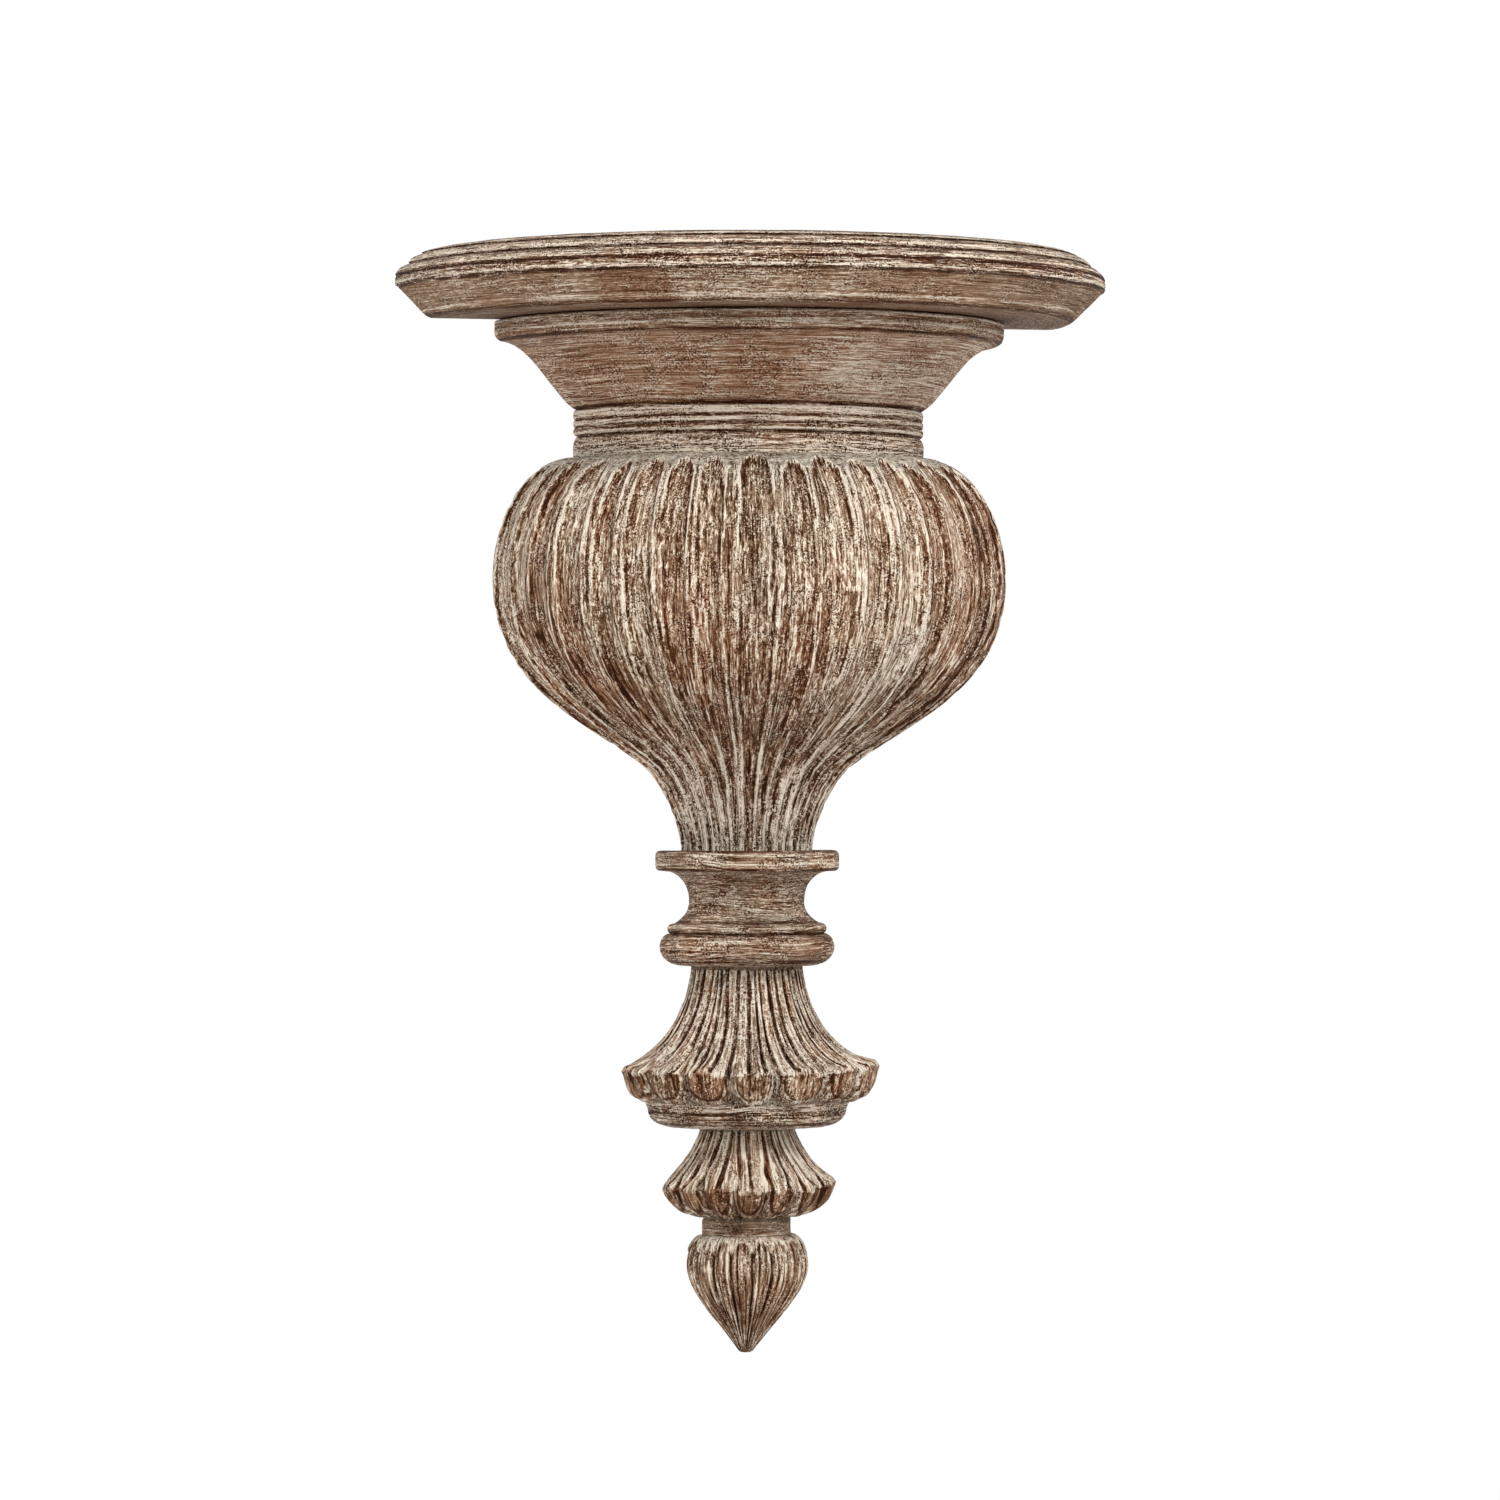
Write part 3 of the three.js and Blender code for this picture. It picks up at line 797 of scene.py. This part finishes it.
def carve_reeds(p):
    """Wash on the reeds' crests, painted shadow lines in their quirks and a dark line over the band."""
    turned_marks(p, 71, 0.35)
    p.rings([SHELF_TOP - drop for drop in (2.4, 8.0, 14.6, 22.4)],
            [SHELF_TOP - drop for drop in (0.8, 3.6, 10.4, REED_DROP - 0.2, BAND_DROP - 0.2)], 0.16)
    p.tone += 0.06 - 0.3 * bump(p.level, SHELF_TOP - REED_DROP + 0.4, 1.3)
    p.red += 0.8 * bump(p.level, SHELF_TOP - REED_DROP, 2)
    p.grey = 0.25 + 0.2 * p.noise(4, 16, 73)
    p.contrast = 1.5


def carve_chamfer(p):
    """The chamfer shows the board's glued staves as patches of slightly different tone."""
    turned_marks(p, 81, 0.35)
    starts, tones, reds, contrasts = np.array(STAVES).T
    stave = np.searchsorted(starts[1:], np.degrees(p.angles))
    # The dark ring just above the shelf's bottom is a painted shadow line at the chamfer's foot, over the
    # body's lip
    p.rings([SHELF_BOTTOM + 4.5], [SHELF_TOP - BAND_DROP, SHELF_BOTTOM + 1])
    p.tone += tones[stave] + 0.08
    p.red = reds[stave] + 0.2 * p.noise(3, 20, 82)
    p.grey = 0.03
    p.contrast = contrasts[stave]


def carve_spool(p):
    """Swaying streaks, darker in the waist, with greyish wash above the bead."""
    turned_marks(p, 91, 0.6)
    p.rings([RING_TOP - 3, WAIST_TOP + 5, TORUS_TOP + 1],
            [RING_TOP, WAIST_TOP + 1, TORUS_TOP + 4.4, BEAD_BOTTOM, BELL_TOP + 3])
    p.tone += 0.06 + 0.04 * bump(p.level, WAIST_TOP + 6, 4) - 0.06 * bump(p.level, WAIST_TOP - 6, 7)
    p.tone += 0.1 * p.noise(9, 14, 94)
    p.red += 0.6 * bump(p.level, WAIST_TOP + 1, 2) + 0.4 * bump(p.level, TORUS_TOP - 13, 5)
    p.sway = 2.4 * p.noise(3, 5, 95)
    p.grey = 0.25 + 0.6 * p.spot(8, TORUS_TOP + 7, 30, 9) + 0.35 * p.noise(7, 10, 93)
    p.contrast = 1.0


def carve_disc(p):
    turned_marks(p, 95, 0.5)
    p.rings([DISC_TOP - 1.5, SMALL_TOP + 1], [SMALL_TOP + 3, DISC_TOP - 6])
    p.tone += 0.04 + 0.14 * p.noise(5, 16, 96)
    p.grey = 0.05 + 0.3 * fade(0, 0.6, p.noise(4, 12, 98))
    p.contrast = 1.6


def carve_collar(p):
    """Grey wash with one dark smear at the left."""
    turned_marks(p, 97, 0.5)
    p.tone += 0.1 - 0.3 * p.spot(-38, COLLAR_TOP - 5, 22, 3)
    p.grey = 0.5


def carve_plain(p):
    turned_marks(p, 99, 0.3)
    p.grey = 0.3


def carve_underside(p):
    """Painted shade in the angle over the body's lip, darker towards the lip."""
    carve_plain(p)
    # Painted shade under the shelf's overhang, deepest next to the lip
    p.tone -= 0.1 * fade(LIP_RADIUS + 20, LIP_RADIUS + 2, p.radius)


CARVERS = {
    "shelf_top": carve_plain, "reeds": carve_reeds, "chamfer": carve_chamfer,
    "underside": carve_underside, "capital": carve_capital, "bulb": carve_bulb, "spool": carve_spool,
    "bell": lambda p: carve_bell(p, LARGE_BELL), "disc": carve_disc,
    "small_bell": lambda p: carve_bell(p, SMALL_BELL), "collar": carve_collar, "bud": carve_bud,
}


# Grids to meshes

# The fields that a patch hands to the wood's material, beside the way down the outline
LAYERS = ("around", "along", "pale", "dark", "contrast", "crowd", "tone", "grey", "red")
# The fields that shape a patch or move its streaks
SHAPERS = ("cut", "drop", "sway")


def row_strides(sections, radius):
    """How many columns each row steps over. From row to row that at most halves or doubles."""
    strides = np.array([STRIDES.get(name, 1) for name in sections])
    strides[(sections == "bulb") & (radius < NARROW_BULB_RADIUS)] = NARROW_BULB_STRIDE
    for row in range(1, len(strides)):
        strides[row] = min(strides[row], strides[row - 1] * 2)
    for row in range(len(strides) - 2, -1, -1):
        strides[row] = min(strides[row], strides[row + 1] * 2)
    return strides


def carve_sections(points, sections, angles, way):
    """The fields of the whole grid, each section filled in by its carver."""
    fields = {key: np.zeros((len(points), len(angles))) for key in SHAPERS + LAYERS}
    for name in dict.fromkeys(sections):
        rows = np.where(sections == name)[0]
        patch = Patch(angles, way[rows] - way[rows[0]], points[rows, 0], points[rows, 1])
        CARVERS[name](patch)
        for key, grid in fields.items():
            grid[rows] = getattr(patch, key)
    return fields


def cut_corners(points, angles, cut, drop):
    """The grid's corners, cut in along the surface normal, with its two side edges in the back plane."""
    radius = points[:, :1]
    level = points[:, 1:]
    tangent = np.gradient(points, axis=0)
    tangent /= np.maximum(np.linalg.norm(tangent, axis=1), 1e-9)[:, None]
    r = np.maximum(radius + cut * tangent[:, 1:], LEAST_RADIUS)
    z = np.clip(level - cut * tangent[:, :1] - drop, level.min(), level.max())
    for edge in (0, -1):
        z[:, edge] = np.minimum.accumulate(z[:, edge])
    corners = np.stack([r * np.sin(angles), -r * np.cos(angles), z], axis=-1)
    corners[:, (0, -1), 1] = 0
    return corners


def carve(points, sections):
    """Turns an outline into a grid of corners, the fields on it and the strides of its rows."""
    angles = np.linspace(-QUARTER_TURN, QUARTER_TURN, COLUMNS + 1)
    way = np.r_[0, np.cumsum(np.linalg.norm(np.diff(points, axis=0), axis=1))]
    fields = carve_sections(points, sections, angles, way)
    corners = cut_corners(points, angles, fields["cut"], fields["drop"])
    layers = {key: fields[key] for key in LAYERS}
    layers["down"] = (way[:, None] + fields["sway"]) * MM
    return corners, layers, row_strides(sections, points[:, 0])


def skin_faces(starts, strides, row):
    """The faces between a row and the next, where either may have twice the corners of the other."""
    stride = max(strides[row], strides[row + 1])

    def corners(row, j):
        count = stride // strides[row]
        return range(starts[row] + j * count, starts[row] + (j + 1) * count + 1)

    faces = []
    for j in range(COLUMNS // stride):
        first, *others = corners(row, j)
        faces.append((first, *corners(row + 1, j), *reversed(others)))
    return faces


def flat_faces(starts):
    """The cap over the top row, the cap under the last one, and the strips of the sawn back."""
    faces = [tuple(range(starts[0], starts[1])), tuple(range(starts[-1] - 1, starts[-2] - 1, -1))]
    for row in range(len(starts) - 2):
        faces.append((starts[row], starts[row + 1] - 1, starts[row + 2] - 1, starts[row + 1]))
    return faces


def put(name, data):
    """A new object in the scene."""
    made = bpy.data.objects.new(name, data)
    bpy.context.scene.collection.objects.link(made)
    return made


def mesh_from_grid(name, corners, layers, strides):
    """One closed mesh: the carved skin in the first material, and its flat faces in the second."""
    picks = [np.arange(0, COLUMNS + 1, stride) for stride in strides]
    starts = np.r_[0, np.cumsum([len(pick) for pick in picks])]

    def picked(grid):
        return np.concatenate([grid[row][pick] for row, pick in enumerate(picks)])

    faces = [face for row in range(len(strides) - 1) for face in skin_faces(starts, strides, row)]
    slots = np.zeros(len(faces), np.int32)
    faces += flat_faces(starts)
    slots = np.r_[slots, np.ones(len(faces) - len(slots), np.int32)]
    mesh = bpy.data.meshes.new(name)
    mesh.from_pydata((picked(corners) * MM).tolist(), [], faces)
    for key, grid in layers.items():
        layer = mesh.attributes.new(key, "FLOAT", "POINT")
        layer.data.foreach_set("value", np.ascontiguousarray(picked(grid), np.float32))
    mesh.polygons.foreach_set("material_index", slots)
    mesh.polygons.foreach_set("use_smooth", np.ones(len(faces), bool))
    mesh.update()
    mesh.set_sharp_from_angle(angle=SHARP_TURN)
    return put(name, mesh)


# Materials

def rgb(red, green, blue):
    """A colour as seen on a screen, from 0 to 255, in the linear values of a shader."""
    values = np.array([red, green, blue]) / 255
    linear = np.where(values <= 0.04045, values / 12.92, ((values + 0.055) / 1.055) ** 2.4)
    return (*linear.tolist(), 1.0)


# Screen colours from bare dark wood with painted shade in the grooves, at 0, to the thickest wash, at 1
BROWN_TONES = ((0.0, 46, 21, 4), (0.16, 76, 44, 20), (0.34, 109, 77, 51), (0.52, 136, 108, 85),
               (0.68, 166, 141, 117), (0.84, 202, 184, 163), (1.0, 226, 212, 194))
GREY_TONES = ((0.0, 50, 29, 12), (0.2, 82, 60, 40), (0.42, 124, 110, 94), (0.62, 156, 144, 127),
              (0.82, 190, 180, 163), (1.0, 212, 204, 189))
RED_STAIN = (1.08, 0.90, 0.84, 1.0)
MATT_SPECULAR = 0.08

# Streaks in the wash: width, length, a seed of their own, and detail
STREAKS = {
    "close": (1.4, 24.0, 1.7, 2.0), "spread": (4.6, 24.0, 2.9, 2.0), "broad": (5.0, 60.0, 9.1, 1.0),
    "arris": (3.8, 46.0, 4.3, 1.0), "fibre": (2.6, 30.0, 6.2, 1.0), "broken": (2.5, 18.0, 3.3, 2.0),
    "flaking": (1.8, 4.5, 5.1, 2.0), "wide_flaking": (6.0, 3.0, 5.7, 2.0),
}
# Noise over the whole object, in cells to the metre
SPECK_SCALE = 880.0
PITTING_SCALE = 60.0
CLOUD_SCALE = 22.0
# What each mark of the grain adds to the wash, and the share of the surface that it covers
GRAIN_WEIGHTS = {
    "crisp": (0.34, 0.5), "broad": (0.8, 0.5), "gleam": (0.3, 0.15), "scratch_and_shadow": (-0.34, 0.12),
    "light_fibre": (0.2, 0.12), "dark_fibre": (-0.24, 0.12), "pores": (-0.44, 0.12),
    "grit": (0.34, 0.12),
}
# What each mark adds to the height of the surface
RELIEF_WEIGHTS = {
    "crisp": (0.25, 0.5), "flakes": (0.2, 0.0), "pores": (-0.5, 0.0), "grit": (0.3, 0.0),
    "scratch_and_shadow": (-0.3, 0.0), "shaded_groove_line": (-0.4, 0.0), "pale_line": (0.25, 0.0),
}


class Nodes:
    """Short ways to build a material's nodes."""

    def __init__(self, name):
        self.material = bpy.data.materials.new(name)
        self.material.use_nodes = True
        self.tree = self.material.node_tree
        self.shader = self.tree.nodes["Principled BSDF"]

    def add(self, kind, **settings):
        node = self.tree.nodes.new(kind)
        for key, value in settings.items():
            setattr(node, key, value)
        return node

    def wire(self, value, socket):
        if isinstance(value, bpy.types.NodeSocket):
            self.tree.links.new(value, socket)
        else:
            socket.default_value = value

    def math(self, operation, *values):
        node = self.add("ShaderNodeMath", operation=operation)
        for value, socket in zip(values, node.inputs):
            self.wire(value, socket)
        return node.outputs[0]

    def total(self, *terms):
        """The sum of numbers, sockets, and (socket, factor, middle) terms."""
        result = None
        for term in terms:
            if isinstance(term, tuple):
                socket, factor, middle = term
                term = self.math("MULTIPLY", self.math("SUBTRACT", socket, middle), factor)
            result = term if result is None else self.math("ADD", result, term)
        return result

    def ramp(self, value, low, high, to_low=0.0, to_high=1.0):
        node = self.add("ShaderNodeMapRange", interpolation_type="SMOOTHSTEP")
        for entry, socket in zip((value, low, high, to_low, to_high), node.inputs):
            self.wire(entry, socket)
        return node.outputs[0]

    def line_at(self, source, value, width):
        """Thin lines where a noise passes a value."""
        return self.ramp(self.math("ABSOLUTE", self.math("SUBTRACT", source, value)), width, 0.0)

    def mix(self, share, a, b):
        node = self.add("ShaderNodeMix", data_type="FLOAT")
        for value, index in ((share, 0), (a, 2), (b, 3)):
            self.wire(value, node.inputs[index])
        return node.outputs[0]

    def blend(self, share, a, b, blend_type="MIX"):
        node = self.add("ShaderNodeMix", data_type="RGBA", blend_type=blend_type)
        for value, index in ((share, 0), (a, 6), (b, 7)):
            self.wire(value, node.inputs[index])
        return node.outputs[2]

    def tones(self, value, stops):
        node = self.add("ShaderNodeValToRGB")
        elements = node.color_ramp.elements
        for index, (place, *colour) in enumerate(stops):
            element = elements[index] if index < 2 else elements.new(place)
            element.position = place
            element.color = rgb(*colour)
        self.wire(value, node.inputs[0])
        return node.outputs[0]

    def surface(self, name, value):
        self.wire(value, self.shader.inputs[name])

    def layer(self, name):
        return self.add("ShaderNodeAttribute", attribute_name=name).outputs["Fac"]

    def place(self):
        return self.add("ShaderNodeTexCoord").outputs["Object"]

    def noise(self, vector, detail=2.0, roughness=0.5, distortion=0.0, scale=1.0):
        node = self.add("ShaderNodeTexNoise")
        self.wire(vector, node.inputs["Vector"])
        for key, value in (("Scale", scale), ("Detail", detail), ("Roughness", roughness),
                           ("Distortion", distortion)):
            node.inputs[key].default_value = value
        return node.outputs[0]

    def relief(self, height, strength, distance):
        node = self.add("ShaderNodeBump")
        node.inputs["Strength"].default_value = strength
        node.inputs["Distance"].default_value = distance
        self.wire(height, node.inputs["Height"])
        self.surface("Normal", node.outputs[0])


def streaks(n, wide, long, seed, detail):
    """Streaks so many millimetres wide and long, down the carving or around the turning.

    Around the turning they are longer and finer.
    """
    joined = n.add("ShaderNodeCombineXYZ")
    carved_scales = (1 / (wide * MM), 1 / (long * MM))
    turned_scales = (1 / (1.3 * long * MM), 1 / (0.5 * wide * MM))
    ways = (n.layer("around"), n.layer("down"))
    for way, turned, carved, socket in zip(ways, turned_scales, carved_scales, joined.inputs):
        n.wire(n.math("MULTIPLY", way, n.mix(n.layer("along"), turned, carved)), socket)
    joined.inputs[2].default_value = seed
    return n.noise(joined.outputs[0], detail, 0.6, 0.35)


def grain_marks(n, streak):
    """The marks of the worn wash, each from 0 to 1: streaks, fibres, scratches with painted shadow lines,
    flakes and pits.
    """
    crowd = n.layer("crowd")
    flaking = n.mix(crowd, streak["flaking"], streak["wide_flaking"])
    speck = n.noise(n.place(), 1.0, 0.5, scale=SPECK_SCALE)
    pitted = n.ramp(n.noise(n.place(), 1.0, 0.5, scale=PITTING_SCALE), 0.58, 0.42, 0.35, 1.45)
    return {
        "crisp": n.ramp(n.mix(crowd, streak["close"], streak["spread"]), 0.41, 0.59),
        "broad": streak["broad"],
        # gleam is a pale line along the arris streaks; the scratch right beside it is a fine groove in the
        # bump and a painted shadow line in the colour
        "gleam": n.line_at(streak["arris"], 0.5, 0.035),
        "scratch_and_shadow": n.line_at(streak["arris"], 0.57, 0.03),
        "light_fibre": n.line_at(streak["fibre"], 0.46, 0.03),
        "dark_fibre": n.line_at(streak["fibre"], 0.53, 0.03),
        "flakes": n.ramp(flaking, 0.51, 0.57),
        "flake_edge": n.line_at(flaking, 0.49, 0.02),
        "pores": n.math("MULTIPLY", n.ramp(speck, 0.58, 0.66), pitted),
        "grit": n.math("MULTIPLY", n.ramp(speck, 0.42, 0.34), pitted),
    }


def carved_lines(n, streak):
    """The pale lines on the arrises and the dark lines of painted shadow in the grooves, both broken and
    uneven; the bump sinks the dark ones too.
    """
    uneven = n.total((streak["broad"], 4.0, 0.5))
    pale = n.ramp(n.math("ADD", n.layer("pale"), uneven), 1.2, 0.4)
    dark = n.ramp(n.math("SUBTRACT", n.layer("dark"), uneven), 1.3, 0.5)
    return {"pale_line": n.math("MULTIPLY", pale, n.ramp(streak["broken"], 0.38, 0.52)),
            "shaded_groove_line": n.math("MULTIPLY", dark, n.ramp(streak["broken"], 0.66, 0.5))}


def weighed(marks, weights):
    return [(marks[name], factor, middle) for name, (factor, middle) in weights.items()]


def limed_wood(name):
    """Brown stain with lime wash in streaks that follow the turning or the carving."""
    n = Nodes(name)
    streak = {key: streaks(n, *sizes) for key, sizes in STREAKS.items()}
    marks = grain_marks(n, streak) | carved_lines(n, streak)
    cloud = n.noise(n.place(), 2.0, 0.5, scale=CLOUD_SCALE)
    patchy = n.ramp(cloud, 0.35, 0.6, 0.4, 1.2)
    flaky = n.total((marks["flakes"], 0.3, 0.35), (marks["flake_edge"], -0.16, 0.1))
    grain = n.total(n.math("MULTIPLY", flaky, patchy), *weighed(marks, GRAIN_WEIGHTS))
    # The dark lines take the wash down as painted shadow along the grooves
    wash = n.total(0.46, n.layer("tone"), n.math("MULTIPLY", grain, n.layer("contrast")),
                   (cloud, 0.32, 0.5), (marks["pale_line"], 0.38, 0.0), (marks["shaded_groove_line"], -0.44, 0.0))
    colour = n.blend(n.layer("grey"), n.tones(wash, BROWN_TONES), n.tones(wash, GREY_TONES))
    stain = n.math("MULTIPLY", n.layer("red"), n.ramp(wash, 0.95, 0.4))
    colour = n.blend(stain, colour, RED_STAIN, "MULTIPLY")
    n.surface("Base Color", colour)
    n.surface("Roughness", n.ramp(wash, 0.2, 0.8, 0.6, 0.85))
    n.surface("Specular IOR Level", MATT_SPECULAR)
    n.relief(n.total(*weighed(marks, RELIEF_WEIGHTS)), 0.8, 1.2 * MM)
    return n.material


def board_wood(name, bias, grain_axis):
    """Flat wood with straight grain along one axis; bias makes all of it paler or darker."""
    n = Nodes(name)

    def grain(long_size, cross_size, seed, detail):
        scales = [1 / (cross_size * MM)] * 3
        scales[grain_axis] = 1 / (long_size * MM)
        node = n.add("ShaderNodeMapping")
        n.wire(n.place(), node.inputs["Vector"])
        node.inputs["Location"].default_value = (seed, seed, seed)
        node.inputs["Scale"].default_value = scales
        return n.noise(node.outputs[0], detail, 0.55, 0.4)

    fine = grain(40, 0.9, 3.0, 3.0)
    broad = grain(150, 9, 7.0, 2.0)
    wash = n.total(0.42 + bias, (fine, 1.0, 0.5), (broad, 0.9, 0.5))
    n.surface("Base Color", n.tones(wash, BROWN_TONES))
    n.surface("Roughness", 0.8)
    n.surface("Specular IOR Level", MATT_SPECULAR)
    n.relief(fine, 0.5, 0.8 * MM)
    return n.material


def pale_floor():
    n = Nodes("pale_floor")
    n.surface("Base Color", (0.8, 0.8, 0.8, 1))
    n.surface("Roughness", 0.9)
    n.surface("Specular IOR Level", 0.0)
    n.surface("Emission Color", (1, 1, 1, 1))
    n.surface("Emission Strength", 0.2)
    return n.material


# The object

ALONG_X = 0
ALONG_Z = 2


def dress(name, outline, node, slot, *materials):
    """Makes one carved piece in the place of its solid."""
    piece = mesh_from_grid(name, *carve(*outline()))
    for material in materials:
        piece.data.materials.append(material)
    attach(piece, "root")
    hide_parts(node)


def build():
    limed = limed_wood("limed_wood")
    sawn_back = board_wood("sawn_back_wood", -0.1, ALONG_Z)
    dress("carved_pendant", body_outline, "carved_body", "carved_wood", limed, sawn_back)
    shelf_flat = board_wood("shelf_flat_wood", 0.04, ALONG_X)
    dress("moulded_shelf", shelf_outline, "shelf_board", "shelf_wood", limed, shelf_flat)


# The studio

# The photograph's frame is 1500 pixels wide. These come from its perspective: how far the camera
# stands, its focal length, and where the corbel's centre line and the horizon fall in the frame.
FRAME_PIXELS = 1500
FOCAL_PIXELS = 6640
PIXELS_PER_MM = 1.5977
CAMERA_TURN = math.radians(16)
CENTRE_LINE_X = 745.5
HORIZON_Y = 770
SHELF_TOP_Y = 254.5
SENSOR_MM = 36

# Soft lights: name, place and size in metres, and power in watts
LIGHTS = (("key", (0.7, -2.6, 1.8), 0.9, 74), ("side", (-2.6, -1.6, 0.5), 1.0, 18))
LIT_PLACE = (0, -0.1, -0.2)

# The floor lies far below the corbel, in metres, so that it can be seen from below too
FLOOR_DROP = 4.0
FLOOR_REACH = 40


def make_camera():
    distance = FOCAL_PIXELS / PIXELS_PER_MM * MM
    height = (SHELF_TOP - (HORIZON_Y - SHELF_TOP_Y) / PIXELS_PER_MM) * MM
    forward = Vector((math.sin(CAMERA_TURN), math.cos(CAMERA_TURN), 0))
    right = Vector((math.cos(CAMERA_TURN), -math.sin(CAMERA_TURN), 0))
    aim = forward + right * ((FRAME_PIXELS / 2 - CENTRE_LINE_X) / FOCAL_PIXELS)
    aim += Vector((0, 0, 1)) * ((HORIZON_Y - FRAME_PIXELS / 2) / FOCAL_PIXELS)
    data = bpy.data.cameras.new("camera")
    data.sensor_width = SENSOR_MM
    data.lens = FOCAL_PIXELS / FRAME_PIXELS * SENSOR_MM
    camera = put("camera", data)
    camera.location = Vector((0, 0, height)) - forward * distance
    camera.rotation_euler = aim.to_track_quat("-Z", "Y").to_euler()
    bpy.context.scene.camera = camera


def area_light(name, place, size, power):
    data = bpy.data.lights.new(name, "AREA")
    data.shape = "SQUARE"
    data.size = size
    data.energy = power
    light = put(name, data)
    light.location = place
    light.rotation_euler = (Vector(LIT_PLACE) - Vector(place)).to_track_quat("-Z", "Y").to_euler()


def make_surroundings():
    """Even white light from all around."""
    scene = bpy.context.scene
    scene.view_settings.view_transform = "Standard"
    scene.world = bpy.data.worlds.new("studio")
    scene.world.use_nodes = True
    background = scene.world.node_tree.nodes["Background"]
    background.inputs["Color"].default_value = (1, 1, 1, 1)
    background.inputs["Strength"].default_value = 1.0


def make_floor():
    level = cad_box[0][2] - FLOOR_DROP
    signs = ((-1, -1), (1, -1), (1, 1), (-1, 1))
    corners = [(x * FLOOR_REACH, y * FLOOR_REACH, level) for x, y in signs]
    mesh = bpy.data.meshes.new("floor")
    mesh.from_pydata(corners, [], [(0, 1, 2, 3)])
    mesh.materials.append(pale_floor())
    floor = put("floor", mesh)


make_camera()
build()
make_surroundings()
for light in LIGHTS:
    area_light(*light)
make_floor()
